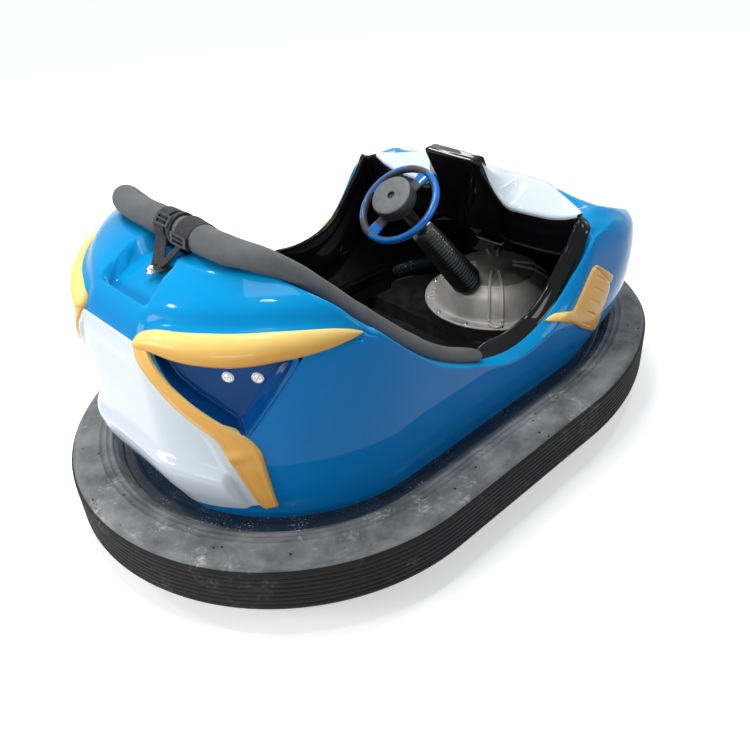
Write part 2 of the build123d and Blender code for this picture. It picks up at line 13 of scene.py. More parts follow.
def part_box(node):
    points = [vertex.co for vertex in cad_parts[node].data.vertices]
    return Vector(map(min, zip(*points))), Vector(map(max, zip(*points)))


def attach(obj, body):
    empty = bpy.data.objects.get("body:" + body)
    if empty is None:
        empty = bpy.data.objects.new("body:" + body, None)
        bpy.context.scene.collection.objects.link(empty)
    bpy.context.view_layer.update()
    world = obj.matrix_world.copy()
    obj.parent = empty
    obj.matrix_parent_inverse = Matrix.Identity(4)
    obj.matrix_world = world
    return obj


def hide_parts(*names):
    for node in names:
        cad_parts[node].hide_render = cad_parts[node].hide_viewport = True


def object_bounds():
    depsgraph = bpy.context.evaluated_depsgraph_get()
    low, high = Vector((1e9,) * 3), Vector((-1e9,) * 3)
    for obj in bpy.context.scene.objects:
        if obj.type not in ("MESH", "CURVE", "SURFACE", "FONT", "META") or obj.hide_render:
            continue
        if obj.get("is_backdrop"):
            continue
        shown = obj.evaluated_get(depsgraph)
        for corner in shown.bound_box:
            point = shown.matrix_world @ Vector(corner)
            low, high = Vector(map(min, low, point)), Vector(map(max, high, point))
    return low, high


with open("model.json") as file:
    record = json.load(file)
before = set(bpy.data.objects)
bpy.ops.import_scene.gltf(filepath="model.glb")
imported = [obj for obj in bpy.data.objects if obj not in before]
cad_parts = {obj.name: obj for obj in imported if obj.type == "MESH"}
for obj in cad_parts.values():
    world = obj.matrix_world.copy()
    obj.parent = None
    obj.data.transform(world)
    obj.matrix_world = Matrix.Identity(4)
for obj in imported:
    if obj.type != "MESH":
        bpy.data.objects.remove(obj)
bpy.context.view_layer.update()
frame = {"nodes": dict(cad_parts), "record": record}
nodes = frame["nodes"]
# the points typed below count X from 975 mm ahead of the ring's tail; the frame's X is moved by this
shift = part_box("bumper_tyre")[0].x + 0.975

# ---------------------------------------------------------------- materials


class Nodes:
    """Small helper around one material's node tree."""

    def __init__(self, name):
        self.material = bpy.data.materials.new(name)
        self.material.use_nodes = True
        self.tree = self.material.node_tree
        self.shader = self.tree.nodes["Principled BSDF"]
        self.coords = self.add("ShaderNodeTexCoord").outputs["Object"]

    def add(self, kind, **values):
        node = self.tree.nodes.new(kind)
        for key, value in values.items():
            if hasattr(node, key):
                setattr(node, key, value)
            else:
                node.inputs[key.replace("_", " ")].default_value = value
        return node

    def link(self, source, target):
        self.tree.links.new(source, target)

    def feed(self, socket, value):
        """Gives a socket a link, a number or a colour."""
        if isinstance(value, bpy.types.NodeSocket):
            self.link(value, socket)
        elif isinstance(value, (int, float)):
            socket.default_value = value
        else:
            socket.default_value = (*value, 1.0)

    def noise(self, scale, detail=4.0, roughness=0.5, stretch=None):
        node = self.add("ShaderNodeTexNoise")
        node.inputs["Scale"].default_value = scale
        node.inputs["Detail"].default_value = detail
        node.inputs["Roughness"].default_value = roughness
        source = self.coords
        if stretch:
            mapping = self.add("ShaderNodeMapping")
            mapping.inputs["Scale"].default_value = stretch
            self.link(self.coords, mapping.inputs["Vector"])
            source = mapping.outputs["Vector"]
        self.link(source, node.inputs["Vector"])
        return node.outputs["Fac"]

    def ramp(self, source, stops):
        node = self.add("ShaderNodeValToRGB")
        ramp = node.color_ramp
        while len(ramp.elements) < len(stops):
            ramp.elements.new(0.5)
        for element, (place, colour) in zip(ramp.elements, stops):
            element.position = place
            value = (colour,) * 3 if isinstance(colour, (int, float)) else tuple(colour)
            element.color = (*value, 1.0)
        self.link(source, node.inputs["Fac"])
        return node.outputs["Color"]

    def mix(self, factor, a, b):
        node = self.add("ShaderNodeMix")
        node.data_type = "RGBA"
        for number, value in ((0, factor), (6, a), (7, b)):
            self.feed(node.inputs[number], value)
        return node.outputs[2]

    def math(self, kind, a, b=0.0):
        node = self.add("ShaderNodeMath")
        node.operation = kind
        for socket, value in zip(node.inputs, (a, b)):
            self.feed(socket, value)
        return node.outputs[0]

    def bump(self, height, strength=0.3, distance=0.001):
        node = self.add("ShaderNodeBump")
        node.inputs["Strength"].default_value = strength
        node.inputs["Distance"].default_value = distance
        self.link(height, node.inputs["Height"])
        if self.shader.inputs["Normal"].is_linked:
            self.link(self.shader.inputs["Normal"].links[0].from_socket, node.inputs["Normal"])
        self.link(node.outputs["Normal"], self.shader.inputs["Normal"])

    def facing_up(self, low, high):
        """0 where the surface stands upright, 1 where it faces up, in the piece's own space."""
        split = self.add("ShaderNodeSeparateXYZ")
        self.link(self.add("ShaderNodeTexCoord").outputs["Normal"], split.inputs[0])
        return self.ramp(split.outputs["Z"], [(low, 0.0), (high, 1.0)])

    def set(self, **values):
        for key, value in values.items():
            self.feed(self.shader.inputs[key.replace("_", " ")], value)


def gelcoat(name, colour, deep, coat=1.0, rough=0.3, coat_ior=1.33, specular=0.08, shaded_flank=None):
    """Glossy pigmented gelcoat: faint mottling, soft orange peel, fine dust specks; a flank colour, when
    given, is painted shade on its upright faces.
    """
    m = Nodes(name)
    cloudy = m.noise(3.0, 3.0)
    base = m.mix(m.ramp(cloudy, [(0.35, 0.0), (0.7, 1.0)]), deep, colour)
    # painted shade: upright faces take the darker flank colour, faces that look up keep the lit colour
    if shaded_flank:
        base = m.mix(m.facing_up(0.1, 0.8), shaded_flank, base)
    dust = m.ramp(m.noise(420.0, 2.0), [(0.72, 0.0), (0.80, 1.0)])
    m.set(Base_Color=m.mix(m.math("MULTIPLY", dust, 0.07), base, (0.55, 0.6, 0.62)))
    m.set(Roughness=m.ramp(m.noise(18.0, 3.0), [(0.3, rough), (0.7, rough + 0.06)]))
    m.set(Coat_Weight=coat, Coat_Roughness=0.02, Coat_IOR=coat_ior, IOR=1.5, Specular_IOR_Level=specular)
    m.bump(m.noise(30.0, 2.0), 0.10, 0.0008)
    m.bump(m.noise(7.0, 1.0), 0.35, 0.004)
    return m.material


def top_lit_paint(name, crown, shaded_flank, rough=0.34):
    """Golden paint with painted light: paler where it faces up, and ochre painted shade where it turns
    under.
    """
    m = Nodes(name)
    facing = m.facing_up(0.0, 0.75)
    grain = m.ramp(m.noise(30.0, 4.0), [(0.35, 0.0), (0.65, 0.15)])
    m.set(Base_Color=m.mix(grain, m.mix(facing, shaded_flank, crown), shaded_flank), Roughness=rough)
    m.set(Coat_Weight=0.6, Coat_Roughness=0.08, Coat_IOR=1.27, Specular_IOR_Level=0.12)
    m.bump(m.noise(24.0, 2.0), 0.12, 0.0008)
    return m.material


def rubber(name, dark, pale, chalk=0.35):
    """Scuffed rubber with chalky patches, streaks along the car and small dark dots."""
    m = Nodes(name)
    streak = m.noise(7.0, 6.0, 0.65, (1.0, 1.0, 5.0))
    base = m.mix(m.ramp(streak, [(0.38, 0.0), (0.62, 1.0)]), dark, pale)
    patch = m.ramp(m.noise(9.0, 8.0, 0.7), [(0.55, 0.0), (0.66, 1.0)])
    fine = m.ramp(m.noise(90.0, 5.0, 0.7), [(0.45, 0.0), (0.6, 1.0)])
    mask = m.math("MULTIPLY", m.math("MULTIPLY", patch, fine), chalk)
    base = m.mix(mask, base, (0.50, 0.50, 0.49))
    # small near-black dots, in the colour only
    dot_cells = m.add("ShaderNodeTexVoronoi")
    dot_cells.inputs["Scale"].default_value = 22.0
    m.link(m.coords, dot_cells.inputs["Vector"])
    dark_dots = m.ramp(dot_cells.outputs["Distance"], [(0.06, 1.0), (0.10, 0.0)])
    base = m.mix(dark_dots, base, (0.02, 0.021, 0.022))
    m.set(Base_Color=base, Roughness=m.ramp(streak, [(0.3, 0.6), (0.7, 0.85)]), Specular_IOR_Level=0.18)
    m.bump(m.noise(140.0, 6.0, 0.6), 0.35, 0.0008)
    m.bump(m.noise(14.0, 4.0), 0.25, 0.0015)
    return m.material


def plain(name, dark, pale, rough, metal=0.0, scale=40.0, bump=0.2, coat=0.0):
    """A worn surface whose colour and roughness wander between two values."""
    m = Nodes(name)
    field = m.noise(scale, 5.0, 0.6)
    m.set(Base_Color=m.mix(m.ramp(field, [(0.35, 0.0), (0.65, 1.0)]), dark, pale))
    m.set(Roughness=m.ramp(m.noise(scale * 0.4, 4.0), [(0.3, rough), (0.7, min(1.0, rough + 0.12))]))
    m.set(Metallic=metal, Coat_Weight=coat, Coat_Roughness=0.05)
    m.bump(m.noise(scale * 6.0, 4.0), bump, 0.0005)
    return m.material


def speckled(name):
    """Wet-looking black paint with pale grit scattered in drifts."""
    m = Nodes(name)
    grit = m.ramp(m.noise(230.0, 3.0, 0.6), [(0.60, 0.0), (0.66, 1.0)])
    drift = m.ramp(m.noise(13.0, 4.0), [(0.48, 0.0), (0.62, 1.0)])
    m.set(Base_Color=m.mix(m.math("MULTIPLY", grit, drift), (0.020, 0.026, 0.034), (0.55, 0.57, 0.58)))
    m.set(Roughness=m.ramp(m.noise(20.0, 4.0), [(0.3, 0.22), (0.7, 0.45)]), Coat_Weight=0.4,
          Coat_Roughness=0.2)
    m.bump(m.noise(60.0, 5.0), 0.5, 0.002)
    return m.material


def seat_vinyl(name):
    """Black vinyl: fine leather grain, creases, and a soft worn sheen."""
    m = Nodes(name)
    cells = m.add("ShaderNodeTexVoronoi")
    cells.inputs["Scale"].default_value = 620.0
    m.link(m.coords, cells.inputs["Vector"])
    worn = m.ramp(m.noise(9.0, 5.0), [(0.4, 0.0), (0.7, 1.0)])
    m.set(Base_Color=m.mix(worn, (0.010, 0.010, 0.011), (0.030, 0.030, 0.032)))
    m.set(Roughness=m.ramp(m.noise(14.0, 4.0), [(0.3, 0.38), (0.7, 0.55)]), Specular_IOR_Level=0.45)
    m.bump(cells.outputs["Distance"], 0.25, 0.0006)
    m.bump(m.noise(22.0, 6.0), 0.25, 0.002)
    return m.material


# the body blue's third colour is painted shade on its upright sides
blue = gelcoat("blue gelcoat", (0.0, 0.275, 0.60), (0.0, 0.245, 0.55), 1.0, 0.3, 1.18, 0.03,
               (0.0, 0.19, 0.54))
# a darker blue painted into the eye recesses as their shade; the recess is the body's own blue moulding
recess_shade_blue = gelcoat("blue gelcoat with painted recess shade", (0.0, 0.07, 0.26), (0.0, 0.05, 0.20), 0.7, 0.4, 1.2, 0.02)
white = gelcoat("white gelcoat", (0.66, 0.73, 0.80), (0.60, 0.68, 0.76))
# the paler crown is painted light on faces that look up, the ochre flank painted shade
yellow = top_lit_paint("yellow paint", (0.90, 0.66, 0.22), (0.80, 0.42, 0.09))
black_gloss = gelcoat("black gelcoat", (0.006, 0.006, 0.007), (0.003, 0.003, 0.004), 1.0, 0.3, 1.28, 0.03)
side_rubber = rubber("grey tyre wall", (0.10, 0.106, 0.11), (0.235, 0.243, 0.25), 0.9)
tread_rubber = rubber("tyre tread", (0.007, 0.007, 0.008), (0.02, 0.02, 0.021), 0.15)
foam = plain("foam sleeve", (0.062, 0.065, 0.068), (0.095, 0.098, 0.102), 0.62, 0.0, 12.0, 0.5)
black_steel = plain("black painted steel", (0.008, 0.008, 0.009), (0.03, 0.03, 0.032), 0.3, 0.0, 25.0, 0.2,
                    0.4)
ledge_paint = speckled("gritty black paint")
alloy = plain("cast alloy", (0.50, 0.49, 0.46), (0.68, 0.67, 0.64), 0.42, 0.2, 14.0, 0.35)
dark_alloy = plain("dark cast alloy", (0.20, 0.197, 0.19), (0.42, 0.412, 0.395), 0.5, 0.3, 9.0, 0.5)
steel = plain("bright steel", (0.55, 0.55, 0.55), (0.75, 0.75, 0.75), 0.22, 1.0, 60.0, 0.1)
iron = plain("cast iron", (0.10, 0.10, 0.10), (0.2, 0.19, 0.18), 0.6, 0.6, 30.0, 0.4)
dark_plastic = plain("dark grey plastic", (0.022, 0.024, 0.027), (0.034, 0.036, 0.04), 0.5, 0.0, 50.0, 0.4)
bellows_rubber = plain("bellows rubber", (0.010, 0.010, 0.011), (0.024, 0.024, 0.025), 0.30, 0.0, 60.0, 0.2,
                       0.5)
webbing = plain("black webbing", (0.008, 0.008, 0.009), (0.022, 0.022, 0.024), 0.75, 0.0, 200.0, 0.6)
grey_plastic = plain("mid grey plastic", (0.10, 0.105, 0.112), (0.14, 0.147, 0.155), 0.5, 0.0, 50.0, 0.4)
vinyl = seat_vinyl("black vinyl")
lens = gelcoat("clear lamp", (0.60, 0.62, 0.65), (0.45, 0.47, 0.50), 1.0, 0.1, 1.5)
blue_inlay = gelcoat("blue inlay", (0.0, 0.16, 0.55), (0.0, 0.12, 0.45))

finish_of_slot = {
    "tyre_rubber": tread_rubber, "black_steel": black_steel, "blue_shell": blue,
    "black_gloss": black_gloss, "white_shell": white, "yellow_trim": yellow, "dark_blue": recess_shade_blue,
    "lamp_clear": lens, "black_foam": foam, "seat_vinyl": vinyl, "webbing": webbing,
    "bright_steel": steel, "cast_alloy": alloy, "motor_iron": iron, "wheel_iron": iron,
    "bellows_rubber": bellows_rubber, "hub_plastic": dark_plastic, "blue_inlay": blue_inlay,
    "pedal_steel": black_steel,
}
for part in frame["record"]["subparts"]:
    node = nodes[part["node"]]
    node.data.materials.clear()
    node.data.materials.append(finish_of_slot[part["material_slot"]])

# ---------------------------------------------------------------- small maths

sides = (("right", 1), ("left", -1))


def clamp(value):
    return min(1.0, max(0.0, value))


def ease(value):
    """Runs smoothly from 0 to 1, flat at both ends."""
    value = clamp(value)
    return value * value * (3 - 2 * value)


def bump_at(value, place, width):
    """1 at the place, falling off over the width."""
    return math.exp(-((value - place) / width) ** 2)


def relax_loop(loop, rounds):
    """Smooths closed rows of points."""
    for _ in range(rounds):
        loop = (np.roll(loop, 1, axis=0) + 2 * loop + np.roll(loop, -1, axis=0)) / 4
    return loop


def even_line(line, count, rounds):
    """The same number of points in each span of a line, smoothed between its ends."""
    at = np.linspace(0, len(line) - 1, count)
    line = np.stack([np.interp(at, np.arange(len(line)), line[:, i]) for i in range(3)], axis=1)
    for _ in range(rounds):
        line[1:-1] = (line[:-2] + 2 * line[1:-1] + line[2:]) / 4
    return line


# ---------------------------------------------------------------- body form

# height; side inset rear; rear curve start; tail x; side inset front; front curve start;
# front corner x; front corner y; nose x, as in the CAD body, metres
half_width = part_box("bumper_tyre")[1].y
sections = np.array([
    (0.209, 0.182, -0.350, -0.768, 0.182, 0.300, 0.690, 0.250, 0.765),
    (0.340, 0.150, -0.352, -0.812, 0.144, 0.400, 0.745, 0.310, 0.800),
    (0.450, 0.136, -0.355, -0.832, 0.132, 0.430, 0.735, 0.330, 0.790),
    (0.560, 0.132, -0.358, -0.835, 0.138, 0.460, 0.690, 0.345, 0.680),
    (0.610, 0.133, -0.359, -0.833, 0.148, 0.420, 0.585, 0.375, 0.578),
    (0.655, 0.134, -0.360, -0.830, 0.164, 0.330, 0.470, 0.385, 0.487),
    (0.730, 0.146, -0.360, -0.800, 0.236, 0.250, 0.400, 0.290, 0.420),
    (0.790, 0.191, -0.370, -0.732, 0.316, 0.200, 0.360, 0.230, 0.380),
    (0.826, 0.281, -0.430, -0.665, 0.396, 0.150, 0.330, 0.170, 0.345),
])
tail_flat = 0.13
breaks = (0.0, 0.08, 0.36, 0.62, 0.84, 1.0)


def hermite(xs, ys, x):
    """Smooth curve through the table's points; never overshoots them."""
    x = np.clip(x, xs[0], xs[-1])
    h = np.diff(xs)
    d = np.diff(ys) / h
    m = np.zeros(len(xs))
    m[0], m[-1] = d[0], d[-1]
    for i in range(1, len(xs) - 1):
        if d[i - 1] * d[i] > 0:
            w1, w2 = 2 * h[i] + h[i - 1], h[i] + 2 * h[i - 1]
            m[i] = (w1 + w2) / (w1 / d[i - 1] + w2 / d[i])
    k = np.clip(np.searchsorted(xs, x, side="right") - 1, 0, len(xs) - 2)
    t = (x - xs[k]) / h[k]
    return ((2 * t**3 - 3 * t**2 + 1) * ys[k] + (t**3 - 2 * t**2 + t) * h[k] * m[k]
            + (3 * t**2 - 2 * t**3) * ys[k + 1] + (t**3 - t**2) * h[k] * m[k + 1])


def side_point(s, z):
    """A point of the body's side. s runs 0 at the tail to 1 at the nose along the right side."""
    v = [float(hermite(sections[:, 0], sections[:, i], np.array(z))) for i in range(9)]
    rear, rear_x, tail, front, front_x, corner_x, corner_y, nose = v[1:]
    r, f = half_width - rear, half_width - front
    if s <= breaks[1]:
        return tail, -tail_flat * s / breaks[1]
    if s <= breaks[2]:
        dx, dy = rear_x - tail, r - tail_flat
        radius = (dx * dx + dy * dy) / (2 * dy)
        centre = -r + radius
        start = math.atan2(-tail_flat - centre, tail - rear_x)
        t = (s - breaks[1]) / (breaks[2] - breaks[1])
        angle = start + t * ((-math.pi / 2 - start + math.pi) % (2 * math.pi) - math.pi)
        return rear_x + radius * math.cos(angle), centre + radius * math.sin(angle)
    if s <= breaks[3]:
        t = (s - breaks[2]) / (breaks[3] - breaks[2])
        return rear_x + t * (front_x - rear_x), -r + t * (r - f)
    if s <= breaks[4]:
        dx, dy = corner_x - front_x, f - corner_y
        radius = (dx * dx + dy * dy) / (2 * dy)
        centre = -f + radius
        end = math.atan2(-corner_y - centre, corner_x - front_x)
        t = (s - breaks[3]) / (breaks[4] - breaks[3])
        angle = -math.pi / 2 + t * (end + math.pi / 2)
        return front_x + radius * math.cos(angle), centre + radius * math.sin(angle)
    t = (s - breaks[4]) / (breaks[5] - breaks[4])
    return nose + (corner_x - nose) * (1 - t) ** 2, -corner_y * (1 - t)


# x and height of the cockpit side's top, rear to front
scoop_line = np.array([
    (-.612, .846), (-.580, .822), (-.545, .795), (-.515, .770), (-.480, .732), (-.440, .688), (-.400, .644),
    (-.350, .594), (-.300, .550), (-.250, .514), (-.200, .486), (-.150, .462), (-.100, .443), (-.050, .429),
    (.000, .420), (.040, .418), (.100, .424), (.160, .441), (.210, .466), (.260, .505), (.310, .563),
    (.362, .648), (.470, .652)])


def scoop(x):
    """Top of the cockpit side at x."""
    if x < scoop_line[0, 0]:
        return 0.9
    return float(hermite(scoop_line[:, 0], scoop_line[:, 1], np.array(x)))


# s, x and y of the cockpit opening's edge, seen from above
opening_table = np.array([
    (0.00, -0.600, 0.000), (0.08, -0.600, 0.100), (0.16, -0.600, 0.175), (0.22, -0.590, 0.235),
    (0.28, -0.545, 0.315), (0.33, -0.450, 0.385), (0.38, -0.330, 0.425), (0.44, -0.180, 0.443),
    (0.50, 0.000, 0.448), (0.56, 0.150, 0.448), (0.61, 0.270, 0.449), (0.645, 0.330, 0.447),
    (0.675, 0.362, 0.438), (0.70, 0.377, 0.422), (0.73, 0.381, 0.395), (0.78, 0.380, 0.330),
    (0.84, 0.380, 0.220), (0.92, 0.380, 0.110), (1.00, 0.380, 0.000)])
# |y| and height of the hood along the dash edge, and along the ridge ahead of it
dash_edge = np.array([
    (0.00, 0.672), (0.075, 0.668), (0.10, 0.655), (0.125, 0.628), (0.16, 0.615), (0.236, 0.618),
    (0.308, 0.624), (0.36, 0.636), (0.395, 0.648), (0.43, 0.640), (0.46, 0.62)])
ridge_line = np.array([
    (0.00, 0.676), (0.10, 0.675), (0.15, 0.673), (0.24, 0.668), (0.31, 0.654), (0.345, 0.647),
    (0.40, 0.648), (0.44, 0.625)])
dash_x, ridge_x = 0.380, 0.455


def hood_height(x, y):
    """Height of the hood between the dash edge and the ridge, and ahead of it."""
    back = float(hermite(dash_edge[:, 0], dash_edge[:, 1], np.array(abs(y))))
    top = float(hermite(ridge_line[:, 0], ridge_line[:, 1], np.array(abs(y))))
    if x <= ridge_x:
        t = clamp((x - dash_x) / (ridge_x - dash_x))
        return back + (top - back) * t**1.3
    outer = clamp((abs(y) - 0.29) / 0.09)
    return top - (0.66 - 0.28 * outer) * (math.hypot(x - ridge_x, 0.02) - 0.02)


def top_height(x, y):
    """Height of the body's top at a point seen from above."""
    top = 0.826
    if x < 0.362:
        top = min(top, scoop(x))
        if x > -0.12:
            fade = min(1.0, (x + 0.12) / 0.15) * min(1.0, (0.362 - x) / 0.03)
            top -= 0.9 * fade * max(0.0, abs(y) - 0.447)
    if x > 0.30:
        top = min(top, hood_height(x, y))
    return top


def edge_point(s):
    """A point of the cockpit opening's edge."""
    x = float(hermite(opening_table[:, 0], opening_table[:, 1], np.array(s)))
    y = -float(hermite(opening_table[:, 0], opening_table[:, 2], np.array(s)))
    return np.array((x, y, top_height(x, y)))


def top_of_side(s):
    """Height where the side meets the deck, coaming or hood."""
    low, high = 0.25, 0.826
    for _ in range(30):
        z = (low + high) / 2
        if z > top_height(*side_point(s, z)):
            high = z
        else:
            low = z
    return low


# points up the side and over the shoulder, and how far the opening's lip turns down
side_count, cap_count, opening_lip = 64, 24, 0.010


def profile(s):
    """Points from the bumper ledge up the side, over the shoulder, to the opening's lip."""
    top = top_of_side(s)
    side = np.array([(*side_point(s, z), z) for z in np.linspace(sections[0, 0], top, side_count)])
    edge = edge_point(s)
    shoulder = side[-1]
    cap = np.array([shoulder + (edge - shoulder) * t for t in np.linspace(0, 1, cap_count)])
    for p in cap[1:]:
        if p[0] > 0.34:
            p[2] = top_height(p[0], p[1])
    return np.vstack([side, cap[1:], [edge + (0, 0, -opening_lip)]])


def resample(line, count):
    """Evenly spaced points along a line."""
    gaps = np.linalg.norm(np.diff(line, axis=0), axis=1)
    at = np.concatenate([[0], np.cumsum(gaps)])
    want = np.linspace(0, at[-1], count)
    return np.stack([np.interp(want, at, line[:, i]) for i in range(3)], axis=1)


def soften(line, width):
    """Rounds a densely sampled line's corners over about that width."""
    step = np.linalg.norm(np.diff(line, axis=0), axis=1).mean()
    reach = max(1, int(round(width / step)))
    kernel = np.hanning(2 * reach + 3)[1:-1]
    kernel /= kernel.sum()
    padded = np.vstack([2 * line[0] - line[1:reach + 1][::-1], line,
                        2 * line[-1] - line[-reach - 1:-1][::-1]])
    return np.stack([np.convolve(padded[:, i], kernel, "valid") for i in range(3)], axis=1)


def make_mesh(name, points, faces, material, smooth=True, body="chassis", replaces=(), slot=None):
    """A mesh piece from typed points; it rides on a body, and may stand for CAD nodes."""
    mesh = bpy.data.meshes.new(name)
    mesh.from_pydata([(p[0] + shift, p[1], p[2]) for p in points], [], faces)
    mesh.validate()
    piece = bpy.data.objects.new(name, mesh)
    bpy.context.scene.collection.objects.link(piece)
    for finish in material if isinstance(material, (list, tuple)) else [material]:
        mesh.materials.append(finish)
    if smooth:
        mesh.polygons.foreach_set("use_smooth", [True] * len(mesh.polygons))
    if body:
        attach(piece, body)
    if replaces:
        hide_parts(*replaces)
    return piece


def grid_faces(rows, columns, closed_rows=False, closed_columns=False):
    """Faces between rows of points."""
    faces = []
    for i in range(rows if closed_rows else rows - 1):
        for j in range(columns if closed_columns else columns - 1):
            a, b = i * columns + j, i * columns + (j + 1) % columns
            c, d = ((i + 1) % rows) * columns + (j + 1) % columns, ((i + 1) % rows) * columns + j
            faces.append((a, b, c, d))
    return faces


around = 200
up = 120
half_rings = np.array([resample(soften(resample(profile(s), 400), 0.012), up)
                       for s in np.linspace(0, 1, around)])
left_rings = half_rings[::-1][1:-1] * (1, -1, 1)
rings = relax_loop(np.vstack([half_rings, left_rings]), 6)


brow_top = np.array([
    (-.818, -.111, .696), (-.812, -.110, .709), (-.803, -.121, .724), (-.793, -.142, .733),
    (-.783, -.165, .738), (-.763, -.210, .741), (-.740, -.249, .743), (-.690, -.315, .745),
    (-.632, -.370, .745), (-.567, -.415, .738), (-.530, -.430, .729), (-.502, -.440, .719),
    (-.484, -.446, .709)])
brow_guide = brow_top[3:]
brow_guide = np.vstack([a + (b - a) * t for a, b in zip(brow_guide, brow_guide[1:])
                        for t in np.linspace(0, 1, 12)[:, None]])


def deck_dip(p):
    """Belt pocket in the deck, and the soft valley along the brow's upper edge."""
    x, y, z = p[0], abs(p[1]), p[2]
    dip = 0.0
    if z > .74 and -.80 < x < -.56:
        half = .095 - .025 * (x + .765) / .14
        inside = min((half - y) / .008, (x + .765) / .010, 1.0 + (-.60 - x) / .03)
        dip = .034 * ease(inside + 0.5)
    if z > .70 and y > .10:
        gap = np.linalg.norm(brow_guide - (x, -y, z), axis=1).min()
        dip += .010 * bump_at(gap, .020, .016)
    return dip


# how far out the rear panel reaches at each height
panel_reach = np.array([(.262, .293), (.289, .293), (.377, .291), (.443, .284), (.495, .272), (.525, .250),
                        (.578, .201), (.631, .160), (.670, .129), (.703, .111)])


def panel_sink(p):
    """The body steps in under the rear panel, so the panel can sit inset."""
    reach = np.interp(p[2], panel_reach[:, 0], panel_reach[:, 1])
    across = clamp((reach - 0.010 - abs(p[1])) / 0.020)
    upright = clamp((p[2] - .272) / .015) * clamp((.695 - p[2]) / .012)
    return .016 * across * upright


shell_faces = [f[::-1] for f in grid_faces(len(rings), up, closed_rows=True)]
surface = BVHTree.FromPolygons([tuple(p) for p in rings.reshape(-1, 3)], shell_faces)
for p in rings.reshape(-1, 3):
    if p[0] < -.60 and p[2] < .70:
        p[0] += panel_sink(p)
    if p[2] > .69 and p[0] < -.40:
        p[2] -= deck_dip(p)
shell = make_mesh("shell", rings.reshape(-1, 3), shell_faces, blue,
                  replaces=["body_shell"], slot="blue_shell")

# ---------------------------------------------------------------- shapes by sweep and ribbon


def smooth_line(points, count):
    """Points along the Catmull-Rom curve through the given points, evenly spaced."""
    p = np.array(points, float)
    p = np.vstack([2 * p[0] - p[1], p, 2 * p[-1] - p[-2]])
    out = []
    for i in range(1, len(p) - 2):
        for t in np.linspace(0, 1, 24, endpoint=False):
            a, b, c, d = p[i - 1], p[i], p[i + 1], p[i + 2]
            out.append(0.5 * (2 * b + (c - a) * t + (2 * a - 5 * b + 4 * c - d) * t**2
                              + (3 * b - a - 3 * c + d) * t**3))
    out.append(p[-2])
    return resample(np.array(out), count)


def project(point):
    """Nearest point of the body's surface and the outward normal there."""
    place, normal, _, _ = surface.find_nearest(tuple(point))
    return np.array(place), np.array(normal)


# how deep a ribbon's border goes under the body's surface
trim_skirt = 0.006


def ribbon(name, edge_a, edge_b, rows, columns, height, material, open_end=False, **extra):
    """A raised trim on the body between two edges; height(r, c) is in metres, r and c run 0 to 1."""
    a, b = (edge if len(edge) == rows else smooth_line(edge, rows) for edge in (edge_a, edge_b))
    points = []
    for i in range(rows):
        for j in range(columns + 2):
            c = clamp((j - 1) / (columns - 1))
            place, normal = project(a[i] + (b[i] - a[i]) * c)
            lift = height(i / (rows - 1), c)
            if j in (0, columns + 1) or i == 0 or (i == rows - 1 and not open_end):
                lift = -trim_skirt
            points.append(place + normal * lift)
    return make_mesh(name, points, grid_faces(rows, columns + 2), material, **extra)


def sweep(name, path, section, material, **extra):
    """A section of (side, up) offsets, or a function that gives it, carried along a path of points."""
    path = np.array(path, float)
    tangents = np.gradient(path, axis=0)
    tangents /= np.linalg.norm(tangents, axis=1)[:, None]
    points, count = [], 0
    for i, (p, t) in enumerate(zip(path, tangents)):
        side = np.cross(t, (0, 0, 1))
        side /= np.linalg.norm(side)
        rise = np.cross(side, t)
        ring = section(i / (len(path) - 1)) if callable(section) else section
        count = len(ring)
        points += [p + side * a + rise * b for a, b in ring]
    faces = grid_faces(len(path), count, closed_columns=True)
    faces += [tuple(range(count)), tuple(range(len(points) - count, len(points)))[::-1]]
    return make_mesh(name, points, faces, material, **extra)


def circle(radius, count):
    """Points of a circle as (side, up) offsets."""
    angles = [2 * math.pi * k / count for k in range(count)]
    return [(radius * math.cos(a), radius * math.sin(a)) for a in angles]


def revolve(name, outline, centre, axis, material, segments, **extra):
    """Turns an outline of (radius, height) points about an axis."""
    axis = Vector(axis).normalized()
    side = axis.orthogonal().normalized() if abs(axis.z) < 0.99 else Vector((1, 0, 0))
    other = axis.cross(side)
    points = []
    for k in range(segments):
        angle = 2 * math.pi * k / segments
        spoke = side * math.cos(angle) + other * math.sin(angle)
        points += [Vector(centre) + axis * h + spoke * r for r, h in outline]
    return make_mesh(name, points, grid_faces(segments, len(outline), closed_rows=True), material, **extra)


def bevel(piece, width, segments):
    """Rounds the piece's sharp edges."""
    mod = piece.modifiers.new("bevel", "BEVEL")
    mod.width, mod.segments = width, segments
    mod.limit_method, mod.angle_limit = "ANGLE", math.radians(30)
    return piece


def paint(piece, choose):
    """Gives each face the material that choose(face number) names."""
    for polygon in piece.data.polygons:
        polygon.material_index = int(choose(polygon.index))


# ---------------------------------------------------------------- tail trim

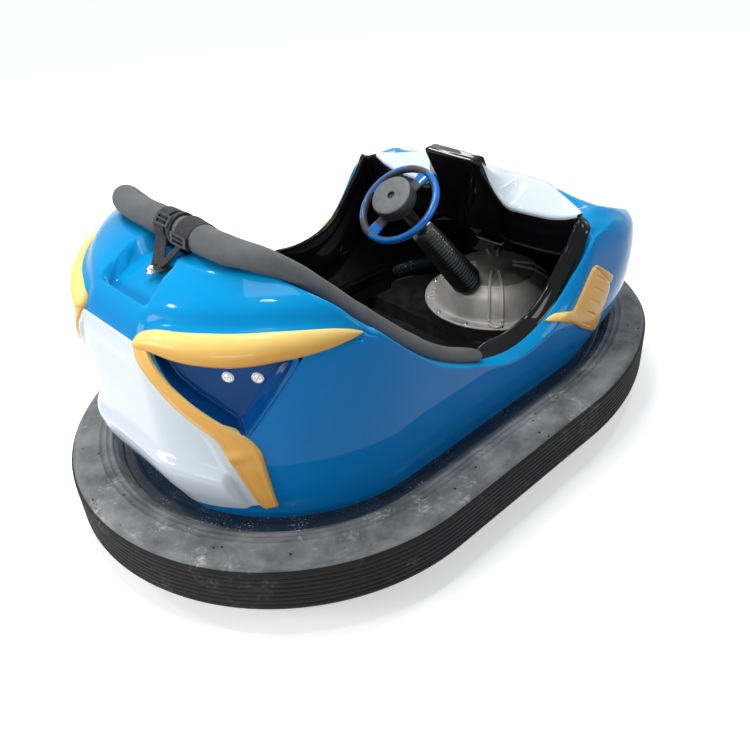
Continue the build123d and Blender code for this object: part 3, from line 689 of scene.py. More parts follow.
brow_low = np.array([
    (-.814, -.135, .692), (-.810, -.157, .694), (-.803, -.180, .690), (-.794, -.203, .686),
    (-.783, -.226, .683), (-.771, -.250, .681), (-.738, -.297, .679), (-.702, -.337, .680),
    (-.653, -.379, .686), (-.596, -.416, .691), (-.550, -.437, .697), (-.508, -.446, .703),
    (-.484, -.447, .7075)])
band_out = np.array([
    (-.815, -.111, .703), (-.823, -.121, .682), (-.825, -.129, .670), (-.821, -.160, .631),
    (-.807, -.201, .578), (-.780, -.250, .525), (-.763, -.272, .495), (-.751, -.284, .443),
    (-.733, -.291, .377), (-.705, -.293, .289), (-.686, -.301, .262)])
band_in = np.array([
    (-.808, -.150, .700), (-.812, -.162, .683), (-.813, -.171, .670), (-.805, -.199, .632),
    (-.788, -.235, .593), (-.764, -.274, .555), (-.727, -.318, .512), (-.705, -.338, .468),
    (-.697, -.339, .416), (-.675, -.324, .288), (-.669, -.322, .268)])

# the brow's height over the body, and the share of it left at the front tip
brow_peak, brow_tip = 0.017, 0.06


def brow_height(r, c):
    """A padded cross-section that thins toward the far end."""
    size = brow_peak * (1 - (1 - brow_tip) * max(0.0, (r - 0.55) / 0.45) ** 1.5)
    return 0.002 + size * max(0.0, math.sin(math.pi * clamp(c))) ** 0.6


def band_height(r, c):
    """A flat band with a rolled rim on each side and a crease where it turns down."""
    rim = 0.005 * bump_at(c, 0.08, 0.07) + 0.003 * bump_at(c, 0.92, 0.07)
    crease = 0.006 * bump_at(r, 0.62, 0.03) * (1 - c)
    return 0.007 * max(0.0, math.sin(math.pi * c)) ** 0.35 + rim + crease + 0.002


for side, hand in sides:
    flip = np.array((1, hand, 1))
    ribbon("brow_" + side, brow_top * flip, brow_low * flip, 90, 22, brow_height, yellow, open_end=True,
           replaces=["brow_" + side], slot="yellow_trim")
    ribbon("band_" + side, band_out * flip, band_in * flip, 110, 16, band_height, yellow,
           replaces=["brow_" + side], slot="yellow_trim")

panel_right = np.vstack([(-.818, -.111, .700), band_out[1:-1], (-.700, -.296, .272)])


def panel_height(r, c):
    """White panel: flat inset above a rolled jaw lip and a full chin."""
    y = 2 * abs(c - 0.5)
    z = 0.700 - r * 0.428
    jaw = 0.372 + 0.045 * (1 - min(1.0, (y / 0.92) ** 2))
    edge = ease((0.91 - y) / 0.07)
    lip = 0.008 * bump_at(z, jaw, 0.008) * edge
    below = 1 / (1 + math.exp((z - jaw) / 0.005))
    chin = 0.020 * bump_at(z, jaw - .02, 0.080) * edge
    inset = -0.010 * (1 - below) * edge * math.exp(-max(0.0, (z - 0.62) / 0.05) ** 2)
    return 0.005 + lip + chin * (1 - (1 - below) * 0.8) + inset


ribbon("rear_panel_skin", panel_right, panel_right * (1, -1, 1), 180, 120, panel_height, white,
       replaces=["rear_panel"], slot="white_shell")

# ---------------------------------------------------------------- eye recess

flank_o = np.array((-.64, -.30, 0.0))
flank_u = np.array((.64, -.768, 0.0)) / math.hypot(.64, .768)
flank_n = np.array((-.768, -.64, 0.0)) / math.hypot(.64, .768)
eye_outer = np.array([(-.2186, .700), (-.183, .630), (-.145, .591), (-.045, .510), (-.028, .505),
                      (.105, .692)])
eye_inner = np.array([(-.200, .694), (-.172, .634), (-.137, .597), (-.062, .540), (-.048, .539),
                      (.056, .690)])


def on_flank(u, z, depth=0.0):
    """Point on the upright plane beside the eye recess."""
    return flank_o + flank_u * u + flank_n * depth + (0, 0, z)


def eye_hit(u, z):
    """Depth of the body's surface along the flank's normal."""
    start = on_flank(u, z, 0.4)
    hit = surface.ray_cast(tuple(start), tuple(-flank_n))[0]
    return float((np.array(hit) - flank_o) @ flank_n)


def loop_points(corners, per_side):
    """Points round a polygon, with softened corners."""
    closed = np.vstack([corners, corners[:1]])
    share = np.linspace(0, 1, per_side, endpoint=False)[:, None]
    return relax_loop(np.vstack([a + (b - a) * share for a, b in zip(closed, closed[1:])]), 6)


mesh_edit = bmesh.new()
mesh_edit.from_mesh(shell.data)
for hand in (1, -1):
    flip = np.array((1, hand, 1))
    move = np.array((shift, 0, 0))

    def near(face):
        c = (np.array(face.calc_center_median()) - move) * flip
        u = (c - flank_o) @ flank_u
        return -.26 < u < .15 and .48 < c[2] < .72 and (c - flank_o) @ flank_n > 0

    corners = eye_outer
    for k in range(len(corners)):
        (u0, z0), (u1, z1) = corners[k], corners[(k + 1) % len(corners)]
        out = flank_u * (z1 - z0) - np.array((0, 0, 1.0)) * (u1 - u0)
        faces = [f for f in mesh_edit.faces if near(f)]
        geometry = [*faces, *{e for f in faces for e in f.edges}, *{v for f in faces for v in f.verts}]
        bmesh.ops.bisect_plane(mesh_edit, geom=geometry, plane_co=on_flank(u0, z0) * flip + move,
                               plane_no=out * flip, dist=1e-6)

    def inside(face):
        c = (np.array(face.calc_center_median()) - move) * flip
        u, z = (c - flank_o) @ flank_u, c[2]
        turns = [(b[0] - a[0]) * (z - a[1]) - (b[1] - a[1]) * (u - a[0])
                 for a, b in zip(corners, np.roll(corners, -1, axis=0))]
        return near(face) and (min(turns) > -1e-9 or max(turns) < 1e-9)

    bmesh.ops.delete(mesh_edit, geom=[f for f in mesh_edit.faces if inside(f)], context="FACES")
mesh_edit.to_mesh(shell.data)
mesh_edit.free()

eye_rim = loop_points(eye_outer, 24)
eye_floor = loop_points(eye_inner, 24)
rim_depth = np.array([eye_hit(u, z) for u, z in eye_rim])
fit = np.column_stack([np.ones(len(eye_rim)), eye_rim])
plane = np.linalg.lstsq(fit, rim_depth, rcond=None)[0]
middle = eye_floor.mean(axis=0)
floor_drop = 0.026


def floor_depth(u, z):
    """Depth of the recess's flat floor along the flank's normal."""
    return plane[0] + plane[1] * u + plane[2] * z - floor_drop


rings_eye = []
for k in range(14):
    t = k / 13
    eased = ease(t)
    uv = eye_rim + (eye_floor - eye_rim) * t
    flat = floor_depth(uv[:, 0], uv[:, 1])
    bead = 0.0060 * math.sin(math.pi * min(1.0, k / 5)) - 0.001 * (k == 0)
    depth = rim_depth * (1 - eased) + flat * eased + bead
    rings_eye.append([on_flank(u, z, d) for (u, z), d in zip(uv, depth)])
for shrink in (0.94, 0.8, 0.6, 0.4, 0.2, 0.05):
    uv = middle + (eye_floor - middle) * shrink
    rings_eye.append([on_flank(u, z, floor_depth(u, z)) for u, z in uv])
eye_points = np.array(rings_eye)
for side, hand in sides:
    faces = grid_faces(len(eye_points), eye_points.shape[1], closed_columns=True)
    last = len(eye_points) * eye_points.shape[1]
    faces.append(tuple(range(last - eye_points.shape[1], last)))
    pocket = make_mesh("eye_pocket_" + side, eye_points.reshape(-1, 3) * (1, hand, 1), faces,
                       [recess_shade_blue, blue], replaces=["eye_" + side], slot="dark_blue")
    # all but the recess's first two rows take the darker blue, painted shade
    paint(pocket, lambda index: index // eye_points.shape[1] < 2)

# two clear lamps in each recess, with metal rings and wedges under the clear face
lamp_outline = [(0.0, 0.0030), (0.0022, 0.0030), (0.0028, 0.0024), (0.0044, 0.0024), (0.0050, 0.0032),
                (0.0070, 0.0032), (0.0076, 0.0022), (0.0092, 0.0022), (0.0098, 0.0030), (0.0116, 0.0028),
                (0.0122, 0.0022), (0.0132, 0.0024), (0.0136, 0.0008), (0.0136, -0.0030)]


def lamp_pattern(index):
    """The metal parts of a lamp: its rings, and every other wedge."""
    segment, ring = divmod(index, len(lamp_outline) - 1)
    return ring in (2, 6, 7, 10) or (ring in (4, 5) and segment // 5 % 2)


for side, hand in sides:
    for number, place in enumerate(((-.734, -.307, .658), (-.690, -.354, .658))):
        p = np.array(place)
        u = (p - flank_o) @ flank_u - 0.010
        z = p[2] - 0.026
        seat = on_flank(u, z, floor_depth(u, z))
        lamp = revolve("lamp_%s_%d" % (side, number), lamp_outline, seat * (1, hand, 1),
                       flank_n * (1, hand, 1), [lens, steel], 40, replaces=["tail_lamps"],
                       slot="lamp_clear")
        paint(lamp, lamp_pattern)

# ---------------------------------------------------------------- head lamps

lamp_turn = math.radians(18)
lamp_steps = ((1.00, -.0040), (1.00, .0020), (.985, .0045), (.955, .0052), (.930, .0050), (.915, .0030),
              (.900, .0026), (.880, .0040), (.800, .0062), (.650, .0082), (.500, .0092), (.350, .0098),
              (.200, .0101), (.060, .0102))
lamp_around = 96


def nose_point(y, z, lift):
    """Point on the nose at y and z, raised along the body's own normal."""
    hit, normal = surface.ray_cast((1.2, y, z), (-1, 0, 0))[:2]
    normal = np.array(normal) * (1 if normal[0] > 0 else -1)
    return np.array(hit) + normal * lift


lamp_points = []
for scale, lift in lamp_steps:
    for a in np.linspace(0, 2 * math.pi, lamp_around, endpoint=False):
        along, over = .075 * scale * math.cos(a), .034 * scale * math.sin(a)
        y = -.247 + along * math.cos(lamp_turn) + over * math.sin(lamp_turn)
        z = .470 - along * math.sin(lamp_turn) + over * math.cos(lamp_turn)
        flute = .0006 * math.cos(along * 900) if scale < .85 else 0.0
        lamp_points.append(nose_point(y, z, lift + flute))
lamp_points = np.array(lamp_points)
for side, hand in sides:
    faces = grid_faces(len(lamp_steps), lamp_around, closed_columns=True)
    faces.append(tuple(range(len(lamp_points) - lamp_around, len(lamp_points))))
    head_lamp = make_mesh("head_lamp_" + side, lamp_points * (1, hand, 1), faces,
                          [lens, dark_plastic, steel], replaces=["head_lamps"], slot="lamp_clear")
    paint(head_lamp, lambda index: 1 if index // lamp_around < 4 else 2 if index // lamp_around < 7 else 0)

# ---------------------------------------------------------------- hood

# white hood's rear edge, from the middle out: x, |y|, z; it climbs the console's side and follows the dash
white_edge = np.array([
    (.322, .000, .757), (.322, .096, .757), (.328, .107, .728), (.337, .117, .692), (.352, .130, .655),
    (.362, .146, .630), (.368, .166, .617), (.370, .200, .616), (.370, .240, .618), (.370, .308, .624),
    (.371, .355, .635), (.374, .392, .648)])
# the crease it runs to
white_crease = np.array([
    (.450, .000, .676), (.450, .090, .675), (.452, .105, .675), (.453, .120, .675), (.455, .135, .674),
    (.455, .150, .674), (.455, .180, .672), (.455, .215, .670), (.450, .250, .667), (.430, .310, .656),
    (.408, .358, .650), (.382, .396, .650)])


def mirrored_line(half, count):
    """The full line from right to left, through a half that starts in the middle."""
    return even_line(np.vstack([half[::-1] * (1, -1, 1), half[1:]]), count, 3)


hood_rows, hood_columns = 161, 20
hood_sag, hood_trough = .030, .13
back_edge = mirrored_line(white_edge, hood_rows)
crease = mirrored_line(white_crease, hood_rows)
points = []
for p, q in zip(back_edge, crease):
    span = q - p
    points += [p + (.002, 0, -.012), p + (-.0015, 0, -.004), p + (-.001, 0, .000)]
    for k in range(1, hood_columns + 1):
        s = k / hood_columns
        sag = -hood_sag * math.sin(math.pi * s) * max(0.0, 1 - (p[1] / hood_trough) ** 2) ** 0.5
        base = p + span * s + (0, 0, sag + .004)
        if abs(p[1]) >= .16:
            base[2] = max(base[2], top_height(base[0], base[1]) + .003)
        points.append(base)
    reach = clamp((.27 - abs(q[1])) / .10)
    for s in (0.02, 0.35, 0.7, 1.0):
        x = q[0] + .010 + .075 * reach * s
        z = q[2] + .003 - .42 * (math.hypot(x - q[0], .02) - .02)
        z = max(z, top_height(x, q[1]) + .0025)
        points.append((x, q[1], z if s < 1 else z - .012))
make_mesh("hood_white", points, grid_faces(hood_rows, hood_columns + 7), white,
          replaces=["hood_bands", "hood_hump"], slot="white_shell")

# ---------------------------------------------------------------- cockpit

liner_around = 220
liner_rows = 80
floor_z = 0.160


def liner_line(s):
    """Black coaming: up and in from the blue edge, over a crest, and down inside the body."""
    edge = edge_point(s)
    ahead = edge_point(min(1.0, s + 0.004)) - edge_point(max(0.0, s - 0.004))
    out = np.array((-ahead[1], ahead[0], 0.0))
    out /= np.linalg.norm(out)
    if out @ (edge - (-0.05, 0, edge[2])) < 0:
        out = -out
    far = math.hypot(*(np.array(side_point(s, 0.45)) - edge[:2]))
    crest = ease((0.382 - edge[0]) / 0.050 if s > 0.5 else (edge[0] + 0.15) / 0.10)
    rise, inward = 0.002 + 0.029 * crest, 0.004 + 0.026 * crest
    rise += 0.034 * bump_at(edge[0], 0.275, 0.070) * crest
    points = [edge + out * 0.006 - (0, 0, 0.004), edge - out * 0.0015 + (0, 0, 0.001)]
    for a in np.linspace(0, 1, 10)[1:]:
        points.append(edge - out * inward * a + (0, 0, rise * math.sin(a * math.pi / 2)))
    top = points[-1]
    drop = top[2] - floor_z
    start, length = (0.06, 0.08) if far < 0.08 else (0.11, 0.10)
    for depth in np.linspace(0, drop, 110)[1:]:
        z = top[2] - depth
        wall = np.array((*side_point(s, max(z, 0.215)), z))
        pocket = math.exp(-((s - 0.24) / 0.14) ** 4) * math.exp(-((z - 0.61) / 0.15) ** 4)
        wall[:2] -= out[:2] * (0.016 + 0.085 * pocket)
        if z < 0.215:
            wall[:2] -= out[:2] * 0.006
        t = ease((depth - start) / length)
        bead = 0.006 / (1 + math.exp(-(depth - 0.050) / 0.003)) - 0.006 * (1 - math.exp(-depth / 0.004))
        down = top + out * bead
        points.append((down[0] + (wall[0] - down[0]) * t, down[1] + (wall[1] - down[1]) * t, z))
    points.append(np.array(points[-1]) - out * 0.05)
    return resample(soften(resample(np.array(points), 260), 0.004), liner_rows)


half_liner = np.array([liner_line(s) for s in np.linspace(0, 1, liner_around)])
left_liner = half_liner[::-1][1:-1] * (1, -1, 1)
liner_rings = relax_loop(np.vstack([half_liner, left_liner]), 4)
liner_faces = grid_faces(len(liner_rings), liner_rows, closed_rows=True)
make_mesh("cockpit_wall", liner_rings.reshape(-1, 3), liner_faces, black_gloss,
          replaces=["cockpit_liner"], slot="black_gloss")

# the console stands on the dash: a sloped face that narrows downward, with flared sides
console_rows = []
for z, face_x, face_y, side_x, side_y in (
        (.7600, .2930, .0890, .3230, .0960), (.7575, .2905, .0925, .3250, .0985),
        (.7500, .2925, .0930, .3260, .1010), (.7280, .2970, .0850, .3290, .1070),
        (.6940, .3050, .0730, .3370, .1165), (.6550, .3150, .0570, .3520, .1295),
        (.6300, .3210, .0460, .3620, .1450), (.6000, .3280, .0330, .3720, .1500),
        (.5600, .3370, .0220, .3800, .1500), (.5190, .3450, .0180, .3820, .1480)):
    half = [(side_x + .012, side_y - .005), (side_x, side_y - .0012), (side_x - .006, side_y - .004),
            (side_x + (face_x - side_x) * .5, side_y + (face_y - side_y) * .56),
            (face_x + .006, face_y + .0035), (face_x, face_y - .001), (face_x, face_y - .008),
            (face_x - .001, face_y * .5), (face_x - .0015, 0.0)]
    ring = [(x, -y, z) for x, y in half] + [(x, y, z) for x, y in half[::-1][1:]]
    console_rows.append(ring)
top = [(.308 + (x - .308) * .9, y * .96, .7622) for x, y, _ in console_rows[0]]
console_points = [p for ring in [top] + console_rows for p in ring]
faces = [f[::-1] for f in grid_faces(len(console_rows) + 1, len(top))] + [tuple(range(len(top)))]
console = make_mesh("console", console_points, faces, [black_gloss, alloy], replaces=["dash_console"],
                    slot="black_gloss")
# a few pale alloy faces at the middle of the console's top edge are a painted highlight
painted_highlight_faces = range(len(top) // 2 - 2, len(top) // 2 + 2)
paint(console, lambda index: index in painted_highlight_faces)

# ---------------------------------------------------------------- seat


def rounded_block(name, outline, half_at, material, across=41, **extra):
    """An outline of (x, z) points carried across the car; half_at gives its half-width at a height."""
    points = []
    for j in range(across):
        t = -1 + 2 * j / (across - 1)
        end = max(0.0, (abs(t) - 0.94) / 0.06)
        centre = np.mean(outline, axis=0)
        for x, z in outline:
            taper = 1 - 0.05 * end**2
            points.append((centre[0] + (x - centre[0]) * taper, t * half_at(z),
                           centre[1] + (z - centre[1]) * taper))
    count = len(outline)
    faces = grid_faces(across, count, closed_columns=True)
    faces += [tuple(range(count))[::-1], tuple(range(len(points) - count, len(points)))]
    return make_mesh(name, points, faces, material, **extra)


def bench_half(z):
    """Half-width of the bench at a height."""
    return .335 - .070 * ease((z - .40) / .28)


bench_line = [(-.600, .162), (-.132, .162), (-.130, .180), (-.134, .285), (-.138, .299), (-.148, .306),
              (-.170, .308), (-.500, .308), (-.524, .312), (-.533, .325), (-.540, .360), (-.606, .640),
              (-.618, .680), (-.630, .694), (-.645, .697), (-.655, .688), (-.657, .670), (-.640, .500),
              (-.610, .300)]
bench = rounded_block("bench_shell", bench_line, bench_half, black_gloss, replaces=["seat_base"],
                      slot="black_gloss")
bevel(bench, 0.004, 2)


def cushion(name, low, high, crown, channels, seam_axis, lean=0.0, **extra):
    """A stuffed pad: swollen by cloth pressure, with sewn channels pressed in afterwards."""
    low, high = np.array(low, float), np.array(high, float)
    centre, half = (low + high) / 2, (high - low) / 2
    count = 40
    points, faces = [], []
    for side in (1, -1):
        for i in range(count + 1):
            for j in range(count + 1):
                u, v = -1 + 2 * i / count, -1 + 2 * j / count
                corner = max(abs(u), abs(v))
                pinch = 1 - 0.05 * (u * u) * (1 - abs(v)) - 0.05 * (v * v) * (1 - abs(u)) * 0.4
                full = (1 - corner**6) ** 0.5
                points.append((half[0] * u * pinch, half[1] * v * pinch,
                               side * half[2] * (0.42 + 0.58 * full) * (corner < 1)))
    width = count + 1
    for side in (0, 1):
        base = side * width * width
        for i in range(count):
            for j in range(count):
                a = base + i * width + j
                quad = (a, a + width, a + width + 1, a + 1)
                faces.append(quad if side == 0 else quad[::-1])
    piece = make_mesh(name, points, faces, vinyl, **extra)
    mesh = piece.data
    mesh.transform(Matrix.Translation((-shift, 0, 0)))
    welded = bmesh.new()
    welded.from_mesh(mesh)
    bmesh.ops.remove_doubles(welded, verts=welded.verts, dist=1e-5)
    welded.to_mesh(mesh)
    welded.free()
    stuff(piece, crown)
    place = np.empty(len(mesh.vertices) * 3)
    mesh.vertices.foreach_get("co", place)
    place = place.reshape(-1, 3)
    for at in channels:
        along = place[:, seam_axis] / half[seam_axis]
        groove = np.exp(-((along - at) / 0.018) ** 2) * 0.010
        top = np.clip(place[:, 2] / half[2], -1, 1)
        place[:, 2] -= groove * (top > 0.2)
    edge = np.exp(-((place[:, 2] - 0.1 * half[2]) / 0.0022) ** 2) * 0.0016
    reach = np.linalg.norm(place[:, :2] / half[:2], axis=1)[:, None]
    outward = place[:, :2] / np.maximum(1e-6, reach) / half[:2]
    place[:, :2] += outward * edge[:, None]
    cos, sin = math.cos(lean), math.sin(lean)
    x, z = place[:, 0].copy(), place[:, 2].copy()
    place[:, 0] = centre[0] + shift + x * cos - z * sin
    place[:, 1] += centre[1]
    place[:, 2] = centre[2] + x * sin + z * cos
    mesh.vertices.foreach_set("co", place.ravel())
    mesh.polygons.foreach_set("use_smooth", [True] * len(mesh.polygons))
    mesh.update()
    return piece


def stuff(piece, cap):
    """Cloth pressure swells the closed form, no point by more than the cap; applied to the mesh."""
    mesh = piece.data
    remesh = piece.modifiers.new("remesh", "REMESH")
    remesh.mode, remesh.voxel_size = "VOXEL", 0.0065
    bake(piece)
    start = np.empty(len(mesh.vertices) * 3)
    mesh.vertices.foreach_get("co", start)
    cloth = piece.modifiers.new("cloth", "CLOTH")
    cloth.settings.use_pressure = True
    cloth.settings.uniform_pressure_force = 4.0
    cloth.settings.effector_weights.gravity = 0.0
    for number in range(1, 21):
        bpy.context.scene.frame_set(number)
    bake(piece)
    bpy.context.scene.frame_set(1)
    end = np.empty(len(mesh.vertices) * 3)
    mesh.vertices.foreach_get("co", end)
    move = (end - start).reshape(-1, 3)
    length = np.linalg.norm(move, axis=1)
    move *= np.minimum(1.0, cap / np.maximum(length, 1e-9))[:, None]
    mesh.vertices.foreach_set("co", (start.reshape(-1, 3) + move).ravel())
    mesh.update()


def bake(piece):
    """Replaces the piece's mesh data with its evaluated form and drops its modifiers."""
    graph = bpy.context.evaluated_depsgraph_get()
    shaped = piece.evaluated_get(graph).to_mesh()
    edit = bmesh.new()
    edit.from_mesh(shaped)
    piece.evaluated_get(graph).to_mesh_clear()
    piece.modifiers.clear()
    edit.to_mesh(piece.data)
    edit.free()
    piece.data.update()


cushion("seat_pad", (-.508, -.322, .312), (-.138, .322, .386), .010, (-.5, 0.0, .5), 1,
                  replaces=["seat_cushion"], slot="seat_vinyl")
cushion("back_pad", (-.718, -.262, .500), (-.418, .262, .556), .008, (-.5, 0.0, .5), 1,
                  math.radians(-103.3), replaces=["seat_backrest"], slot="seat_vinyl")

# ---------------------------------------------------------------- bumper ring

tail_r, tail_x, side_end, flank_r, nose_r = 0.616, -0.359, 0.193, 0.950, 0.570
flank_sweep = math.acos((flank_r - tail_r) / (flank_r - nose_r))
nose_x = side_end + (flank_r - nose_r) * math.sin(flank_sweep)


def ring_plan(count):
    """Points and outward directions round the ring's shoulder line, evenly spaced."""
    out = []
    for a in np.linspace(math.pi, 1.5 * math.pi, 200):
        out.append((tail_x + tail_r * math.cos(a), tail_r * math.sin(a), math.cos(a), math.sin(a)))
    for t in np.linspace(0, 1, 60)[1:]:
        out.append((tail_x + (side_end - tail_x) * t, -tail_r, 0, -1))
    for a in np.linspace(-math.pi / 2, -math.pi / 2 + flank_sweep, 120)[1:]:
        out.append((side_end + flank_r * math.cos(a), flank_r - tail_r + flank_r * math.sin(a),
                    math.cos(a), math.sin(a)))
    for a in np.linspace(-math.pi / 2 + flank_sweep, 0, 200)[1:]:
        out.append((nose_x + nose_r * math.cos(a), nose_r * math.sin(a), math.cos(a), math.sin(a)))
    half = np.array(out)
    line = np.vstack([half, half[::-1][1:] * (1, -1, 1, -1)])
    at = np.concatenate([[0], np.cumsum(np.linalg.norm(np.diff(line[:, :2], axis=0), axis=1))])
    want = np.linspace(0, at[-1], count, endpoint=False)
    return np.stack([np.interp(want, at, line[:, i]) for i in range(4)], axis=1)


def ring_sweep(name, outline, count, material, **extra):
    """Carries (inset, height) points round the ring."""
    plan = ring_plan(count)
    points = [(x - inset * nx, y - inset * ny, z) for x, y, nx, ny in plan for inset, z in outline]
    return make_mesh(name, points, grid_faces(count, len(outline), closed_rows=True, closed_columns=True),
                     material, **extra)


tread = [(0.0125, 0.0905), (0.006, 0.096), (0.002, 0.104)]
for z in (0.111, 0.125, 0.139, 0.153, 0.167, 0.181, 0.195):
    tread += [(0.0, z - 0.0055), (0.0, z + 0.0048), (0.0038, z + 0.0052), (0.0038, z + 0.0078)]
tread += [(0.0, 0.2035), (0.0005, 0.211), (0.0055, 0.2165), (0.0065, 0.2195), (0.011, 0.225),
          (0.020, 0.2315)]
wall = [(0.032, 0.2348), (0.045, 0.2360), (0.060, 0.2362), (0.0745, 0.2352), (0.076, 0.2364),
        (0.0785, 0.2364), (0.080, 0.2348), (0.092, 0.2335), (0.0935, 0.2345), (0.096, 0.2345),
        (0.0975, 0.2328), (0.106, 0.2312), (0.108, 0.2325), (0.112, 0.2325), (0.1145, 0.2295),
        (0.1165, 0.2262), (0.1205, 0.2255), (0.1245, 0.2232), (0.128, 0.2165), (0.133, 0.2125),
        (0.1358, 0.2112)]
under = [(0.1358, 0.104), (0.125, 0.0965), (0.110, 0.0845), (0.060, 0.084), (0.030, 0.0842),
         (0.020, 0.0865)]
tyre_outline = tread + wall + under
tyre = ring_sweep("bumper_tyre_skin", tyre_outline, 460, [tread_rubber, side_rubber],
                  replaces=["bumper_tyre"], slot="tyre_rubber")
paint(tyre, lambda index: len(tread) - 3 <= index % len(tyre_outline) < len(tread) + len(wall))

ledge = [(0.1355, 0.2085), (0.140, 0.2105), (0.150, 0.2100), (0.160, 0.2094), (0.171, 0.2094),
         (0.176, 0.204), (0.176, 0.151), (0.173, 0.151), (0.173, 0.2005), (0.141, 0.2005), (0.141, 0.1045),
         (0.1365, 0.1045)]
ring_sweep("rim_ledge", ledge, 400, ledge_paint, replaces=["bumper_rim"], slot="black_steel")
# a flat skirt closes the ledge up to the foot of the body
foot = rings[:, 0]
turn = np.roll(foot, -1, axis=0) - np.roll(foot, 1, axis=0)
away = np.stack([turn[:, 1], -turn[:, 0]], axis=1)
away /= np.linalg.norm(away, axis=1)[:, None]
if (away[0] @ foot[0, :2]) < 0:
    away = -away
skirt_height, skirt_reach = .2086, (-.004, .0, .016, .034)
skirt = [(p[0] + n[0] * d, p[1] + n[1] * d, skirt_height) for p, n in zip(foot, away) for d in skirt_reach]
make_mesh("ledge_skirt", skirt, grid_faces(len(foot), 4, closed_rows=True), ledge_paint,
          replaces=["bumper_rim"], slot="black_steel")

# ---------------------------------------------------------------- padded roll and belts

roll_radius = 0.033
roll_line = [(-.612, .0, .859), (-.612, .100, .859), (-.611, .185, .860), (-.600, .235, .859),
             (-.575, .275, .847), (-.547, .305, .826), (-.515, .332, .794), (-.478, .356, .751),
             (-.447, .376, .714), (-.413, .393, .678), (-.351, .414, .615), (-.286, .427, .555),
             (-.241, .433, .522), (-.195, .438, .496), (-.154, .441, .477), (-.120, .444, .462),
             (-.095, .446, .453)]
roll_path = smooth_line([(x, -y, z) for x, y, z in reversed(roll_line[1:])] + roll_line, 300)


def roll_section(t):
    """The roll's round section: fullest at the tail, thinner at the sides, rounded off at its ends."""
    end = min(t, 1 - t) * 300 / 9
    radius = roll_radius - 0.0095 * ease((abs(t - 0.5) - 0.09) / 0.10)
    radius -= 0.004 * max(0.0, (abs(t - 0.5) - 0.42) / 0.08)
    size = radius * (math.sqrt(max(0.0, 1 - (1 - min(1.0, end)) ** 2)) * 0.8 + 0.2 if end < 1 else 1.0)
    wobble = 0.0006 * math.sin(t * 61) + 0.0005 * math.sin(t * 143 + 1)
    return [(a * (1 + wobble / roll_radius), b * (1 + wobble / roll_radius)) for a, b in circle(size, 32)]


roll = sweep("roll_sleeve", roll_path, roll_section, foam, replaces=["padded_roll"], slot="black_foam")


def strap(name, path, width, thick, across, **extra):
    """A flat webbing strap along a path; across is the direction of its width."""
    path = smooth_line(path, 16 * len(path))
    across = np.array(across, float)
    points = []
    tangents = np.gradient(path, axis=0)
    for p, t in zip(path, tangents):
        t = t / np.linalg.norm(t)
        wide = across - (across @ t) * t
        wide /= np.linalg.norm(wide)
        rise = np.cross(t, wide)
        for a, b in ((-.5, -.5), (-.42, -.62), (.42, -.62), (.5, -.5), (.5, .5), (.42, .62), (-.42, .62),
                     (-.5, .5)):
            points.append(p + wide * width * a + rise * thick * b)
    faces = grid_faces(len(path), 8, closed_columns=True)
    faces += [tuple(range(8))[::-1], tuple(range(len(points) - 8, len(points)))]
    return make_mesh(name, points, faces, webbing, **extra)


def wrap(y, lean, first, last, radius, count=18):
    """Points round the roll at y, from one angle to another; lean slides them along the roll."""
    angles = np.radians(np.linspace(first, last, count))
    return [(-.612 + radius * math.cos(a), y + lean * (a - angles[0]) / (angles[-1] - angles[0]),
             .859 + radius * math.sin(a)) for a in angles]


wrapped = roll_radius + 0.0028
# the left strap goes round the roll and hangs to the anchor
hang = [(-.652, .002, .838), (-.668, -.010, .818), (-.684, -.022, .801)]
strap("belt_left", wrap(.012, -.004, -60, 196, wrapped) + hang, 0.040, 0.003, (0, 1, 0), replaces=["belts"],
      slot="webbing")
strap("belt_loop", wrap(-.022, -.012, -90, 270, wrapped + .001, 30), 0.013, 0.0034, (0, 1, 0),
      replaces=["belts"], slot="webbing")
# the right strap runs round the roll at a slant, its tail goes down to the same anchor
strap("belt_right", wrap(-.105, .030, -90, 205, wrapped, 24), 0.048, 0.0032, (0.0, 1, 0.12),
      replaces=["belts"], slot="webbing")
strap("belt_tail", [(-.651, -.078, .851), (-.662, -.064, .834), (-.674, -.048, .816), (-.688, -.032, .801)],
      0.017, 0.003, (0.3, 1, 0.3), replaces=["belts"], slot="webbing")


def block(name, centre, size, axes, material, round_off=0.0015, **extra):
    """A small rounded block on three axes."""
    axes = [np.array(v, float) / np.linalg.norm(v) for v in axes]
    centre = np.array(centre, float)
    points = [centre + sum(axes[k] * size[k] / 2 * s[k] for k in range(3))
              for s in ((-1, -1, -1), (1, -1, -1), (1, 1, -1), (-1, 1, -1), (-1, -1, 1), (1, -1, 1),
                        (1, 1, 1), (-1, 1, 1))]
    faces = [(0, 3, 2, 1), (4, 5, 6, 7), (0, 1, 5, 4), (1, 2, 6, 5), (2, 3, 7, 6), (3, 0, 4, 7)]
    return bevel(make_mesh(name, points, faces, material, smooth=False, **extra), round_off, 3)


def buckle(name, centre, along, across, length, width, **extra):
    """A ladder buckle: a rounded frame with a middle bar."""
    along, across = np.array(along, float), np.array(across, float)
    rise = np.cross(along, across)
    for number, (shift_a, shift_b, size_a, size_b) in enumerate((
            (0, .5, 1, .2), (0, -.5, 1, .2), (.42, 0, .2, 1), (-.42, 0, .2, 1), (0.02, 0, .14, 1))):
        block("%s_%d" % (name, number),
              np.array(centre) + along * length * shift_a + across * width * shift_b,
              (length * size_a, width * size_b, .0045), (along, across, rise), dark_plastic, **extra)


